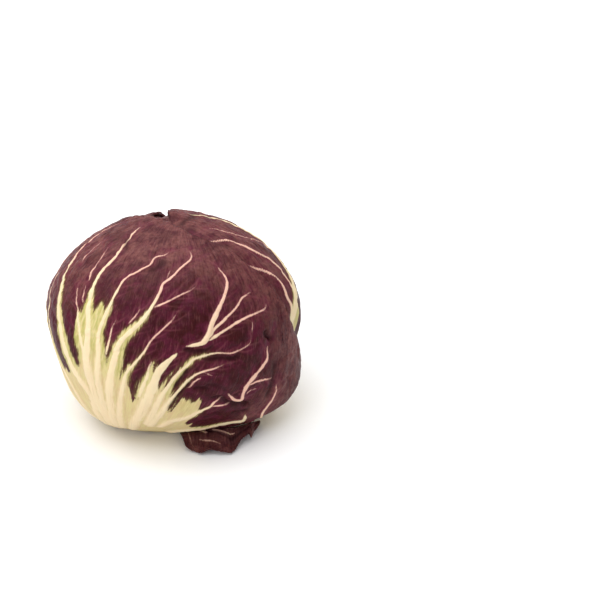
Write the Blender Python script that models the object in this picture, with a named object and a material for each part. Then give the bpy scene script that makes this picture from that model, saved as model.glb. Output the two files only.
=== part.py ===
"""A head of round red radicchio: wrapper leaves clasped over one another round a packed heart.

Lengths in the tables are millimetres and angles are degrees. A place on the head is given by
its polar angle, from the trimmed stem (0) to the crown (180), and its azimuth round that line,
from the front (0, the -Y side) towards +X. Depth is measured inwards from the head's outline.
"""

import math
from dataclasses import dataclass

import bpy
import numpy as np

MM = 0.001

# Outline of the whole head: an ellipsoid, swollen here and there, pressed flat where it rests
CENTRE_HEIGHT = 45.0
HALF_WIDTH = 59.0
HALF_FRONT_TO_BACK = 56.0
HALF_ABOVE = 50.5
HALF_BELOW = 50.0
FLAT_ROUNDING = 2.0
SWELLINGS = (
    # direction, height, half width in degrees
    ((0.76, -0.30, -0.60), 10.0, 22.0),
    ((-0.58, -0.35, -0.74), 4.2, 26.0),
    ((-0.93, -0.20, -0.20), -3.0, 20.0),
    ((0.93, -0.05, 0.28), 2.5, 18.0),
    ((0.70, 0.00, 0.65), 1.0, 20.0),
    ((-0.93, -0.10, 0.36), 1.0, 16.0),
)
STEM_AXIS = (-0.30, -0.34, -0.89)
CROWN_AXIS = (0.10, 0.22, 0.96)

# Stem and leaf bases
STEM_POLAR = 13.0
STEM_LENGTH = 13.0
STEM_CHAMFER = 0.5
STRAIGHT_POLAR = 16.0
LEAF_BASE_POLAR = 13.7
SOCKET_POLAR = 17.0
SOCKET_BLEND = 14.0

# Leaf sheets: thickness at a polar angle, the air between two leaves, and the thin margin
THICKNESS = ((0, 3.9), (22, 3.6), (45, 2.5), (75, 1.7), (100, 1.4), (180, 1.3))
LEAF_GAP = 0.5
MARGIN_THINNING = 0.6
MARGIN_BAND = 3.5
COVER_CLEAR = 4.5
COVER_BLEND = 12.0
MARGIN_FLUTTER = 0.9
FLUTTER_WAVES = 13
FLUTTER_BAND = 5.0
HEART_COVER_CLEAR = 9.0
HEART_COVER_BLEND = 20.0
HEART_EXTRA_GAP = 0.5

# Relief of the ribs
RIB_RISE = 32.0
RIB_FADE = 14.0
RIB_FOOT = 2.2
FOOT_SHARE = 0.35
CORNER_SPAN = 3.0
COLUMN_SPACING = 8.0

# Mesh resolution
POLARS = np.arange(0.0, 181.0)
USED_POLARS = slice(14, 160)
MEAN_RADIUS = 54.0
HEART_ROWS = 22
HEART_COLUMNS = 44
STEM_SIDES = 28

# Torn leaf that lies under the head, seen from above
FLAP_ROOT = ((3.0, -30.5), (14.0, -29.5), (25.0, -28.5), (35.0, -26.5), (42.5, -22.5))
FLAP_EDGE = ((7.5, -44.5), (15.0, -47.5), (29.0, -48.0), (34.5, -39.5), (42.0, -29.0))
FLAP_THICKNESS = 1.1
FLAP_EDGE_THICKNESS = 0.7
FLAP_WAVE = 1.3
FLAP_WAVES_ACROSS = 2.6
FLAP_REST = 0.1
FLAP_CLEARANCE = 1.0
FLAP_TUCK = 0.75
FLAP_LIFT = 6.0
FLAP_LIFT_FROM = 0.55
FLAP_COLUMNS = 15
FLAP_ROWS = 8


@dataclass(frozen=True)
class Rib:
    """A raised rib of a leaf: its route as (polar, azimuth), where it shows, and its height."""

    route: tuple
    start: float
    end: float
    height: float


@dataclass(frozen=True)
class Leaf:
    """One wrapper leaf: its margins, its ribs, and the swellings that push it outwards."""

    name: str
    crown: tuple
    middle: float
    left: tuple
    right: tuple
    tip: tuple
    ribs: tuple
    lifts: tuple
    rows: int


FRONT_RIBS = (
    Rib(((15, -92), (40, -86), (60, -78), (80, -74), (92, -75), (105, -84), (125, -101), (160, -112)),
        35, 112, 0.7),
    Rib(((15, -76), (40, -62), (60, -56), (80, -57), (90, -61), (100, -66), (110, -72), (120, -79),
         (130, -85), (150, -92), (170, -96)), 40, 158, 1.0),
    Rib(((15, -48), (33, -30), (50, -28), (66, -31), (86, -37), (100, -42), (110, -45), (130, -45),
         (140, -46), (150, -50), (160, -56), (170, -60)), 40, 162, 1.1),
    Rib(((15, -34), (33, -20), (50, -22), (68, -26), (88, -33), (96, -33), (104, -31), (120, -29),
         (128, -22), (133, -18), (138, -16), (142, -9), (150, -4), (170, 2)), 45, 152, 0.9),
    Rib(((15, -24), (33, -12), (50, -17), (62, -19), (82, -20), (90, -18), (97, -15), (109, -10),
         (118, -7), (123, -6), (132, 2), (138, 10), (146, 11), (170, 14)), 45, 152, 1.0),
    Rib(((15, -13), (33, -5), (50, -11), (61, -14), (78, -14), (88, -10), (95, -8), (102, -1),
         (112, 4), (125, 12), (138, 19), (170, 22)), 55, 118, 0.7),
    Rib(((15, -4), (33, 2), (45, -1), (57, -6), (72, -4), (84, 0), (91, 6), (95, 12), (98, 17),
         (102, 20), (109, 23), (122, 29), (130, 29), (138, 25), (150, 27), (170, 29)), 50, 144, 1.2),
    Rib(((15, 5), (33, 9), (57, 7), (74, 8), (84, 12), (91, 19), (96, 24), (102, 26), (107, 32),
         (112, 42), (118, 49), (130, 50), (150, 44), (170, 42)), 62, 122, 0.6),
    Rib(((15, 16), (33, 17), (57, 19), (61, 26), (67, 33), (71, 39), (75, 42), (82, 43), (88, 47),
         (95, 51), (99, 52), (115, 55), (135, 54), (170, 50)), 48, 101, 1.1),
    Rib(((15, 34), (33, 37), (44, 43), (49, 50), (53, 56), (58, 57), (65, 61), (72, 63), (95, 66),
         (110, 64), (140, 57), (170, 54)), 34, 80, 1.0),
)
RIGHT_RIBS = (
    Rib(((15, 60), (60, 66), (88, 71), (95, 73), (101, 72.5), (105, 71), (108, 69), (111, 66),
         (115, 61), (125, 53), (140, 44), (170, 40)), 78, 120, 0.8),
    Rib(((15, 68), (60, 72), (88, 74.5), (97, 77), (104, 78.5), (110, 78), (113, 76.5), (116.5, 73),
         (121, 70), (126, 66), (129.5, 62), (133.5, 57), (140, 52), (170, 50)), 78, 138, 0.9),
    Rib(((15, 78), (60, 79), (88, 79), (94, 80.5), (100, 83), (105, 86.5), (112, 91), (117, 93.5),
         (122, 94.5), (133, 94), (143, 91), (151, 89), (170, 84)), 45, 160, 1.4),
    Rib(((15, 94), (60, 94), (90, 98), (112, 107), (132, 113), (150, 113), (170, 111)), 40, 148, 1.0),
    Rib(((15, 110), (60, 109), (90, 115), (120, 126), (150, 134), (170, 138)), 40, 140, 0.9),
    Rib(((15, 126), (60, 125), (90, 132), (120, 141), (150, 150), (170, 154)), 40, 128, 0.7),
)
LEFT_RIBS = (
    Rib(((15, -156), (60, -160), (100, -163), (170, -164)), 40, 125, 0.6),
    Rib(((15, -140), (60, -141), (100, -144), (170, -140)), 40, 140, 0.9),
    Rib(((15, -124), (60, -120), (100, -120), (170, -112)), 40, 145, 1.1),
    Rib(((15, -106), (60, -98), (100, -94), (170, -86)), 40, 135, 0.8),
)
BACK_RIBS = (
    Rib(((15, 130), (60, 124), (100, 122), (170, 126)), 40, 130, 0.7),
    Rib(((15, 154), (60, 150), (100, 148), (170, 150)), 40, 145, 0.9),
    Rib(((15, 178), (60, 172), (100, 171), (170, 174)), 40, 150, 1.2),
    Rib(((15, 202), (60, 200), (100, 199), (170, 200)), 40, 145, 0.9),
    Rib(((15, 226), (60, 232), (100, 236), (170, 236)), 40, 130, 0.7),
)
FRONT_LEAF = Leaf(
    name="wrapper_leaf_front",
    crown=CROWN_AXIS,
    middle=-15.0,
    left=((15, -104), (60, -108), (100, -112), (140, -118), (170, -120)),
    right=((15, 50), (40, 58), (50, 64), (60, 69), (70, 78), (80, 85), (90, 87), (170, 87)),
    tip=((-120, 146), (-110, 152), (-100, 160), (-75, 166), (-50, 169), (-20, 169), (12, 163),
         (30, 154), (45, 146), (54, 133), (62, 117), (68, 104), (75, 97), (82, 89), (88, 80)),
    ribs=FRONT_RIBS,
    lifts=(
        # polar, azimuth, height, half width in millimetres
        (76, 84, 3.2, 13.0),
        (90, 74, 1.0, 9.0),
        (84, 22, 0.9, 5.0),
        (76, 31, 1.0, 5.0),
        (63, 40, 1.2, 5.0),
        (126, 62, 0.8, 7.0),
        (163, -50, 0.9, 9.0),
    ),
    rows=21,
)
RIGHT_LEAF = Leaf(
    name="wrapper_leaf_right",
    crown=(-0.42, 0.30, 0.86),
    middle=90.0,
    left=((15, 22), (60, 24), (100, 26), (170, 28)),
    right=((15, 146), (60, 152), (100, 156), (170, 158)),
    tip=((26, 142), (40, 151), (60, 156), (90, 158), (116, 157), (140, 149), (158, 134)),
    ribs=RIGHT_RIBS,
    lifts=((158, 80, 0.8, 8.0), (128, 146, 1.0, 9.0)),
    rows=21,
)
LEFT_LEAF = Leaf(
    name="wrapper_leaf_left",
    crown=CROWN_AXIS,
    middle=-120.0,
    left=((15, -172), (60, -176), (100, -178), (170, -178)),
    right=((15, -66), (60, -64), (100, -62), (170, -60)),
    tip=((-178, 132), (-160, 146), (-140, 152), (-120, 155), (-90, 152), (-62, 138)),
    ribs=LEFT_RIBS,
    lifts=((140, -165, 1.0, 9.0),),
    rows=20,
)
BACK_LEAF = Leaf(
    name="wrapper_leaf_back",
    crown=(0.10, -0.30, 0.95),
    middle=180.0,
    left=((15, 108), (60, 100), (100, 98), (170, 100)),
    right=((15, 246), (60, 254), (100, 258), (170, 256)),
    tip=((98, 138), (120, 148), (150, 154), (180, 156), (210, 154), (240, 147), (258, 136)),
    ribs=BACK_RIBS,
    lifts=(),
    rows=20,
)
LEAVES = (FRONT_LEAF, RIGHT_LEAF, LEFT_LEAF, BACK_LEAF)

# Edges of the inner leaves that stand out of the heart, as steps inwards beyond a polar angle
HEART_STEP = 0.8
HEART_STEP_WIDTH = 4.0
HEART_EDGES = ((140.0, 10.0, 2, 20.0), (155.0, 7.0, 3, 140.0))


def unit(vector):
    """The vector, or each row of vectors, at length one."""
    vector = np.asarray(vector, float)
    return vector / np.linalg.norm(vector, axis=-1, keepdims=True)


def smoothstep(value):
    """A soft step from 0 to 1 as value goes from 0 to 1."""
    value = np.clip(value, 0.0, 1.0)
    return value * value * (3.0 - 2.0 * value)


def rounded(points, at, span=CORNER_SPAN):
    """A line through hand-picked points, read at `at`, with its corners rounded over `span`."""
    places, values = zip(*points)
    steps = np.linspace(-span, span, 5)
    return np.mean([np.interp(at + step, places, values) for step in steps], axis=0)


def turn(vectors, turns):
    """Vectors turned about each turn's direction by its length in radians."""
    angle = np.linalg.norm(turns, axis=-1, keepdims=True)
    axis = turns / np.maximum(angle, 1e-12)
    along = (axis * vectors).sum(axis=-1, keepdims=True)
    sideways = np.cross(axis, vectors)
    return vectors * np.cos(angle) + sideways * np.sin(angle) + axis * along * (1.0 - np.cos(angle))


def turn_between(start, end):
    """The turn that takes one direction to another."""
    start = unit(start)
    end = unit(end)
    axis = np.cross(start, end)
    angle = math.atan2(np.linalg.norm(axis), float(start @ end))
    return unit(axis) * angle


def bend(polar, crown):
    """How the line from stem to crown leans at a polar angle: straight near the stem."""
    rise = (1.0 - np.cos(np.radians(polar))) / 2.0
    straight = (1.0 - math.cos(math.radians(STRAIGHT_POLAR))) / 2.0
    share = np.clip((rise - straight) / (1.0 - straight), 0.0, 1.0)[..., None]
    at_stem = turn_between((0.0, 0.0, -1.0), STEM_AXIS)
    at_crown = turn_between((0.0, 0.0, 1.0), crown)
    return at_stem * (1.0 - share) + at_crown * share


def direction(polar, azimuth, crown=CROWN_AXIS):
    """The direction from the head's centre to a place given by polar angle and azimuth."""
    polar, azimuth = np.broadcast_arrays(polar, azimuth)
    p = np.radians(polar)
    a = np.radians(azimuth)
    upright = np.stack([np.sin(p) * np.sin(a), -np.sin(p) * np.cos(a), -np.cos(p)], axis=-1)
    return turn(upright, bend(polar, crown))


def place_of(directions, crown, middle):
    """Polar angle and azimuth of directions, with the azimuth within half a turn of middle."""
    polar = np.degrees(np.arccos(np.clip(directions @ unit(STEM_AXIS), -1.0, 1.0)))
    for _ in range(14):
        upright = turn(directions, -bend(polar, crown))
        polar = np.degrees(np.arccos(np.clip(-upright[..., 2], -1.0, 1.0)))
    azimuth = np.degrees(np.arctan2(upright[..., 0], -upright[..., 1]))
    return polar, (azimuth - middle + 180.0) % 360.0 - 180.0 + middle


def outline_radius(directions, depth):
    """Distance from the centre to the head's outline, or to a sheet `depth` inside it."""
    half_height = np.where(directions[..., 2] > 0.0, HALF_ABOVE, HALF_BELOW)
    halves = np.stack([np.full_like(half_height, HALF_WIDTH),
                       np.full_like(half_height, HALF_FRONT_TO_BACK), half_height], axis=-1)
    radius = 1.0 / np.linalg.norm(directions / halves, axis=-1)
    for way, height, width in SWELLINGS:
        apart = np.degrees(np.arccos(np.clip(directions @ unit(way), -1.0, 1.0)))
        radius = radius + height * np.exp(-((apart / width) ** 2))
    radius = radius - depth
    down = np.maximum(-directions[..., 2], 0.15)
    floor = (CENTRE_HEIGHT - depth) / down
    share = np.clip(0.5 + 0.5 * (floor - radius) / FLAT_ROUNDING, 0.0, 1.0)
    rounding = FLAT_ROUNDING * share * (1.0 - share)
    pressed = floor * (1.0 - share) + radius * share - rounding
    return np.where(directions[..., 2] < -0.15, pressed, radius)


def points_at(directions, depth):
    """Points of a sheet `depth` inside the head's outline."""
    radius = outline_radius(directions, depth)[..., None]
    return directions * radius + np.array([0.0, 0.0, CENTRE_HEIGHT])


def stem_angle(directions):
    """Angle from the stem's axis, whichever leaf the direction belongs to."""
    return np.degrees(np.arccos(np.clip(directions @ unit(STEM_AXIS), -1.0, 1.0)))


def thickness(directions):
    """How thick a leaf is there: fleshy by the stem and thin over the crown."""
    return rounded(THICKNESS, stem_angle(directions), 6.0)


def margin_distance(leaf, directions):
    """Millimetres from the leaf's margin, positive on the leaf."""
    polar, azimuth = place_of(directions, leaf.crown, leaf.middle)
    degree = MEAN_RADIUS * math.radians(1.0)
    across = degree * np.sin(np.radians(polar))
    to_tip = (rounded(leaf.tip, azimuth) - polar) * degree
    to_left = (azimuth - rounded(leaf.left, polar)) * across
    to_right = (rounded(leaf.right, polar) - azimuth) * across
    return np.minimum(to_tip, np.minimum(to_left, to_right))


def cover(leaf, directions, clear=COVER_CLEAR, blend=COVER_BLEND):
    """1 where the leaf lies over the head and just beyond its margin, falling softly to 0."""
    beyond = -margin_distance(leaf, directions) - clear
    return 1.0 - smoothstep(beyond / blend)


def sheet_depth(leaves_over, directions, clear=COVER_CLEAR, blend=COVER_BLEND):
    """Depth at which the next leaf's outer face lies under these leaves."""
    pitch = thickness(directions) + LEAF_GAP
    covers = [cover(leaf, directions, clear, blend) for leaf in leaves_over]
    return pitch * np.sum(covers, axis=0) if covers else np.zeros_like(pitch)


def clear_of_floor(directions):
    """0 on the pressed flat patch, rising to 1 a few millimetres above the floor."""
    height = points_at(directions, np.zeros(directions.shape[:-1]))[..., 2]
    return smoothstep((height - 0.5) / 6.0)


def rib_relief(leaf, polar, azimuth):
    """Height of the ribs above the leaf's face."""
    relief = np.zeros_like(polar)
    for rib in leaf.ribs:
        crest = rounded(rib.route, polar)
        slope = rounded(rib.route, polar + 1.0) - crest
        lean = np.sin(np.radians(polar)) * slope
        apart = (azimuth - crest) * np.sin(np.radians(polar)) * math.radians(MEAN_RADIUS)
        apart = apart / np.sqrt(1.0 + lean * lean)
        shows = smoothstep((polar - rib.start) / RIB_RISE) * smoothstep((rib.end - polar) / RIB_FADE)
        profile = np.exp(-((apart / (0.6 * RIB_FOOT)) ** 2))
        relief = np.maximum(relief, rib.height * shows * profile)
    return relief


def lift_of(leaf, directions):
    """How far the leaf's own swellings push it outwards."""
    lift = np.zeros(directions.shape[:-1])
    for polar, azimuth, height, width in leaf.lifts:
        middle = direction(polar, azimuth, leaf.crown)
        apart = MEAN_RADIUS * np.arccos(np.clip(directions @ middle, -1.0, 1.0))
        lift = lift + height * np.exp(-((apart / width) ** 2))
    return lift


def columns_between(start, end):
    """Columns evenly spread between two others, as many as their widest part needs."""
    across = (end - start) * np.sin(np.radians(POLARS)) * math.radians(MEAN_RADIUS)
    steps = max(2, math.ceil(across[USED_POLARS].max() / COLUMN_SPACING))
    return [start + (end - start) * step / steps for step in range(1, steps)]


def leaf_columns(leaf):
    """Azimuth, at each of POLARS, of the leaf's mesh columns: margins, rib feet, crests, valleys."""
    edges = [rounded(leaf.left, POLARS)]
    edges += [rounded(rib.route, POLARS) for rib in leaf.ribs]
    edges.append(rounded(leaf.right, POLARS))
    foot = np.degrees(RIB_FOOT / (MEAN_RADIUS * np.maximum(np.sin(np.radians(POLARS)), 0.05)))
    columns = [edges[0]]
    for before, crest, after in zip(edges, edges[1:], edges[2:]):
        low = crest - np.minimum(foot, FOOT_SHARE * (crest - before))
        high = crest + np.minimum(foot, FOOT_SHARE * (after - crest))
        columns += columns_between(columns[-1], low) + [low, crest, high]
    columns += columns_between(columns[-1], edges[-1]) + [edges[-1]]
    return columns


def leaf_grid(leaf):
    """Polar angle and azimuth of each mesh vertex, as rows from the base to the margin."""
    polars = []
    azimuths = []
    for column in leaf_columns(leaf):
        left_to_go = rounded(leaf.tip, column) - POLARS
        last = int(np.argmax(left_to_go < 0.0))
        top = np.interp(0.0, -left_to_go[last - 1:last + 1], POLARS[last - 1:last + 1])
        polar = np.linspace(LEAF_BASE_POLAR, top, leaf.rows)
        polars.append(polar)
        azimuths.append(np.interp(polar, POLARS, column))
    return np.array(polars).T, np.array(azimuths).T


def leaf_faces(leaf, leaves_over):
    """Points of the leaf's outer and inner face, row by row."""
    polar, azimuth = leaf_grid(leaf)
    ways = direction(polar, azimuth, leaf.crown)
    bare = 1.0 - np.max([cover(other, ways) for other in leaves_over] or [np.zeros_like(polar)], axis=0)
    to_margin = np.maximum(margin_distance(leaf, ways), 0.0)
    flutter = MARGIN_FLUTTER * (1.0 + np.sin(np.radians(FLUTTER_WAVES * azimuth))) / 2.0
    lift = lift_of(leaf, ways) + flutter * np.exp(-to_margin / FLUTTER_BAND)
    level = sheet_depth(leaves_over, ways) - bare * lift * clear_of_floor(ways)
    thinning = MARGIN_THINNING * (1.0 - smoothstep(to_margin / MARGIN_BAND))
    thinning = np.where(stem_angle(ways) > 60.0, thinning, 0.0)
    relief = bare * rib_relief(leaf, polar, azimuth) * clear_of_floor(ways)
    outer = points_at(ways, level + thinning - relief)
    inner = points_at(ways, level + thickness(ways))
    return outer, inner


def shell_triangles(rows, columns):
    """Triangles of two like grids of vertices, the outer first, closed round their rim."""
    count = rows * columns
    index = np.arange(count).reshape(rows, columns)
    a, b = index[:-1, :-1].ravel(), index[:-1, 1:].ravel()
    c, d = index[1:, 1:].ravel(), index[1:, :-1].ravel()
    outer = np.concatenate([np.stack([a, b, c], axis=1), np.stack([a, c, d], axis=1)])
    inner = outer[:, ::-1] + count
    rim = np.concatenate([index[0, :], index[1:, -1], index[-1, -2::-1], index[-2:0:-1, 0]])
    after = np.roll(rim, -1)
    skirt = np.concatenate([np.stack([after, rim, rim + count], axis=1),
                            np.stack([after, rim + count, after + count], axis=1)])
    return np.concatenate([outer, inner, skirt])


def material(name, red, green, blue, roughness):
    """A plain Principled surface of one colour, given as linear red, green and blue."""
    made = bpy.data.materials.new(name)
    made.use_nodes = True
    surface = made.node_tree.nodes["Principled BSDF"]
    surface.inputs["Base Color"].default_value = (red, green, blue, 1.0)
    surface.inputs["Roughness"].default_value = roughness
    surface.inputs["Metallic"].default_value = 0.0
    return made


def add_object(name, points, triangles, surface):
    """One closed, smooth-shaded object from points in millimetres."""
    mesh = bpy.data.meshes.new(name)
    mesh.from_pydata((np.asarray(points) * MM).tolist(), [], np.asarray(triangles).tolist())
    mesh.materials.append(surface)
    mesh.shade_smooth()
    made = bpy.data.objects.new(name, mesh)
    bpy.context.scene.collection.objects.link(made)
    return made


def add_leaf(leaf, leaves_over, surface):
    """One wrapper leaf as a closed curved sheet with its ribs raised on the outer face."""
    outer, inner = leaf_faces(leaf, leaves_over)
    rows, columns = outer.shape[:2]
    points = np.concatenate([outer.reshape(-1, 3), inner.reshape(-1, 3)])
    return add_object(leaf.name, points, shell_triangles(rows, columns), surface)


def capped_rings(rings, low_point, high_point):
    """Points and triangles of a closed skin over rings, with a point at each end."""
    count, sides = rings.shape[:2]
    points = np.concatenate([rings.reshape(-1, 3), [low_point, high_point]])
    index = np.arange(count * sides).reshape(count, sides)
    after = np.roll(index, -1, axis=1)
    a, b = index[:-1].ravel(), after[:-1].ravel()
    c, d = after[1:].ravel(), index[1:].ravel()
    low = np.full(sides, count * sides)
    high = np.full(sides, count * sides + 1)
    triangles = np.concatenate([
        np.stack([a, b, c], axis=1),
        np.stack([a, c, d], axis=1),
        np.stack([low, after[0], index[0]], axis=1),
        np.stack([high, index[-1], after[-1]], axis=1),
    ])
    return points, triangles


def heart_depth(directions):
    """Depth of the packed inner leaves: under every wrapper, clear of the stem, stepped at edges."""
    depth = HEART_EXTRA_GAP + sheet_depth(LEAVES, directions, HEART_COVER_CLEAR, HEART_COVER_BLEND)
    socket = STEM_LENGTH + LEAF_GAP
    near_stem = 1.0 - smoothstep((stem_angle(directions) - SOCKET_POLAR) / SOCKET_BLEND)
    depth = depth + np.maximum(socket - depth, 0.0) * near_stem
    polar, azimuth = place_of(directions, CROWN_AXIS, 0.0)
    for edge, wave, waves, turned in HEART_EDGES:
        margin = edge + wave * np.cos(np.radians(waves * azimuth + turned))
        depth = depth + HEART_STEP * smoothstep((polar - margin) / HEART_STEP_WIDTH)
    return depth


def add_heart(surface):
    """The packed inner leaves as one dense body, with their edges standing out near the crown."""
    polar = np.linspace(0.0, 180.0, HEART_ROWS + 2)
    azimuth = np.linspace(-180.0, 180.0, HEART_COLUMNS, endpoint=False)
    ways = direction(polar[1:-1, None], azimuth[None, :])
    ends = direction(polar[[0, -1]], np.zeros(2))
    rings = points_at(ways, heart_depth(ways))
    low, high = points_at(ends, heart_depth(ends))
    return add_object("heart_of_inner_leaves", *capped_rings(rings, low, high), surface)


def add_stem(surface):
    """The trimmed stem: a tapering plug whose cut end is flush with the flat the head rests on."""
    azimuth = np.linspace(-180.0, 180.0, STEM_SIDES, endpoint=False)
    bevel = math.degrees(STEM_CHAMFER / CENTRE_HEIGHT)
    profile = (
        # polar angle, depth
        (0.5 * STEM_POLAR, 0.0),
        (STEM_POLAR - bevel, 0.0),
        (STEM_POLAR, STEM_CHAMFER),
        (STEM_POLAR, 0.5 * STEM_LENGTH),
        (STEM_POLAR, STEM_LENGTH - STEM_CHAMFER),
        (STEM_POLAR - bevel, STEM_LENGTH),
        (0.5 * STEM_POLAR, STEM_LENGTH),
    )
    rings = []
    for polar, depth in profile:
        ways = direction(np.full(STEM_SIDES, polar), azimuth)
        rings.append(points_at(ways, np.full(STEM_SIDES, depth)))
    ends = direction(np.zeros(2), np.zeros(2))
    low, high = points_at(ends, np.array([0.0, STEM_LENGTH]))
    return add_object("trimmed_stem", *capped_rings(np.array(rings), low, high), surface)


def underside(x, y):
    """Height of the head's outline above the floor over each place, found by halving."""
    low = np.zeros_like(x)
    high = np.full_like(x, CENTRE_HEIGHT)
    for _ in range(20):
        height = (low + high) / 2.0
        away = np.stack([x, y, height - CENTRE_HEIGHT], axis=-1)
        inside = np.linalg.norm(away, axis=-1) < outline_radius(unit(away), np.zeros_like(x))
        high = np.where(inside, height, high)
        low = np.where(inside, low, height)
    return low


def flap_faces():
    """Points of the torn leaf's upper and lower face, from its tucked-in root to its free edge."""
    across = np.linspace(0.0, 1.0, FLAP_COLUMNS)
    out = np.linspace(0.0, 1.0, FLAP_ROWS)[:, None]
    stations = np.linspace(0.0, 1.0, len(FLAP_ROOT))
    root = np.stack([rounded(list(zip(stations, axis)), across, 0.08) for axis in zip(*FLAP_ROOT)])
    edge = np.stack([rounded(list(zip(stations, axis)), across, 0.03) for axis in zip(*FLAP_EDGE)])
    x = root[0] * (1.0 - out) + edge[0] * out
    y = root[1] * (1.0 - out) + edge[1] * out
    wave = FLAP_WAVE * out * (1.0 + np.sin(2.0 * np.pi * (FLAP_WAVES_ACROSS * across + 0.35 * out)))
    lift = FLAP_LIFT * smoothstep((across - FLAP_LIFT_FROM) / (1.0 - FLAP_LIFT_FROM)) * (1.0 - 0.4 * out)
    depth = FLAP_THICKNESS * (1.0 - out) + FLAP_EDGE_THICKNESS * out
    ceiling = underside(x, y) - FLAP_CLEARANCE - FLAP_THICKNESS
    tucked = 1.0 - smoothstep(out / FLAP_TUCK)
    lower = ceiling * tucked + (FLAP_REST + wave + lift) * (1.0 - tucked)
    lower = np.clip(lower, FLAP_REST, np.maximum(ceiling, FLAP_REST))
    return np.stack([x, y, lower + depth], axis=-1), np.stack([x, y, lower], axis=-1)


def add_flap(surface):
    """The torn, darker leaf that pokes out from under the head at the front right."""
    upper, lower = flap_faces()
    points = np.concatenate([upper.reshape(-1, 3), lower.reshape(-1, 3)])
    triangles = shell_triangles(FLAP_ROWS, FLAP_COLUMNS)[:, ::-1]
    return add_object("torn_leaf_flap", points, triangles, surface)


def clear_scene():
    """Takes every object out of the scene."""
    for old in list(bpy.data.objects):
        bpy.data.objects.remove(old, do_unlink=True)


def main():
    clear_scene()
    wine = material("wine_red_leaf", 0.072, 0.022, 0.026, 0.45)
    shaded_wine = material("shaded_wine_leaf", 0.120, 0.038, 0.042, 0.45)
    for count, leaf in enumerate(LEAVES):
        add_leaf(leaf, LEAVES[:count], wine if count % 2 == 0 else shaded_wine)
    add_heart(material("pale_inner_leaves", 0.590, 0.420, 0.300, 0.50))
    add_stem(material("cream_stem", 0.700, 0.580, 0.380, 0.60))
    add_flap(material("torn_dark_leaf", 0.095, 0.028, 0.027, 0.50))


main()
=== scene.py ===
"""Looks of a head of round red radicchio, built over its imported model.

Lengths in the tables are millimetres and angles are degrees. A place on the head is given by
its polar angle, from the trimmed stem (0) to the crown (180), and its azimuth round that line,
from the front (0, the -Y side) towards +X. Depth is measured inwards from the head's outline.
"""

import math
from dataclasses import dataclass

import bpy
import numpy as np
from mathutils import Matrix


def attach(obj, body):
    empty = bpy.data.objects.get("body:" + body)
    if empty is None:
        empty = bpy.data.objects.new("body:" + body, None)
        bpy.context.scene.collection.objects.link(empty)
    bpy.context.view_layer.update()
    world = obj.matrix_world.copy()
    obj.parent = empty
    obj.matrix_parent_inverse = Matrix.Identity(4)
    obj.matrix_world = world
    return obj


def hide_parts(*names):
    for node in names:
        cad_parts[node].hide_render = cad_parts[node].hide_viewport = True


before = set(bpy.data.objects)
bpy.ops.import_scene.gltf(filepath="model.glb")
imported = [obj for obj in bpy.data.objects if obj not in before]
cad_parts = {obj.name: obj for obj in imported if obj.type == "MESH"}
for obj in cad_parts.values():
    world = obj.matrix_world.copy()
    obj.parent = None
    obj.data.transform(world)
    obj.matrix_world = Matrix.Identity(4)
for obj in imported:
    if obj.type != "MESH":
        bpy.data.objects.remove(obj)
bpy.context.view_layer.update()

bl_info = {
    "name": "Radicchio Head",
    "version": (1, 0, 0),
    "blender": (4, 5, 0),
    "location": "View3D > Sidebar > Radicchio",
    "description": "Builds the leaves, heart and stem of a head of radicchio",
    "category": "Object",
}

MM = 0.001
BODY = "root"

# Outline of the whole head: an ellipsoid, swollen here and there, pressed flat where it rests
CENTRE_HEIGHT = 45.0
HALF_WIDTH = 59.0
HALF_FRONT_TO_BACK = 56.0
HALF_ABOVE = 50.5
HALF_BELOW = 50.0
FLAT_ROUNDING = 2.0
DOWNWARD = 0.15
FLOOR_CLEAR = 0.5
FLOOR_BLEND = 6.0
SWELLINGS = (
    # direction, height, half width in degrees
    ((0.76, -0.30, -0.60), 10.0, 22.0),
    ((-0.58, -0.35, -0.74), 4.2, 26.0),
    ((-0.93, -0.20, -0.20), -3.0, 20.0),
    ((0.93, -0.05, 0.28), 2.5, 18.0),
    ((0.70, 0.00, 0.65), 1.0, 20.0),
    ((-0.93, -0.10, 0.36), 1.0, 16.0),
)
STEM_AXIS = (-0.30, -0.34, -0.89)
CROWN_AXIS = (0.10, 0.22, 0.96)
STEM_POLAR = 13.0
STEM_LENGTH = 13.0
STRAIGHT_POLAR = 16.0
LEAF_BASE_POLAR = 13.7
SOCKET_POLAR = 17.0
SOCKET_BLEND = 14.0

# Leaf sheets
THICKNESS = ((0, 3.9), (22, 3.6), (45, 2.5), (75, 1.7), (100, 1.4), (180, 1.3))
LEAF_GAP = 0.5
MARGIN_THINNING = 0.6
MARGIN_BAND = 3.5
COVER_CLEAR = 4.5
COVER_BLEND = 12.0
MARGIN_FLUTTER = 0.9
FLUTTER_WAVES = 13
FLUTTER_BAND = 5.0
HEART_COVER_CLEAR = 9.0
HEART_COVER_BLEND = 20.0
HEART_EXTRA_GAP = 0.5
CORNER_SPAN = 3.0
POLARS = np.arange(0.0, 181.0)
MEAN_RADIUS = 54.0
DEGREE = MEAN_RADIUS * math.radians(1.0)
PLACE_STEPS = 14
HALVING_STEPS = 20
WANDER_VALUES = 4096
LUMP_GRID = 64

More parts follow.
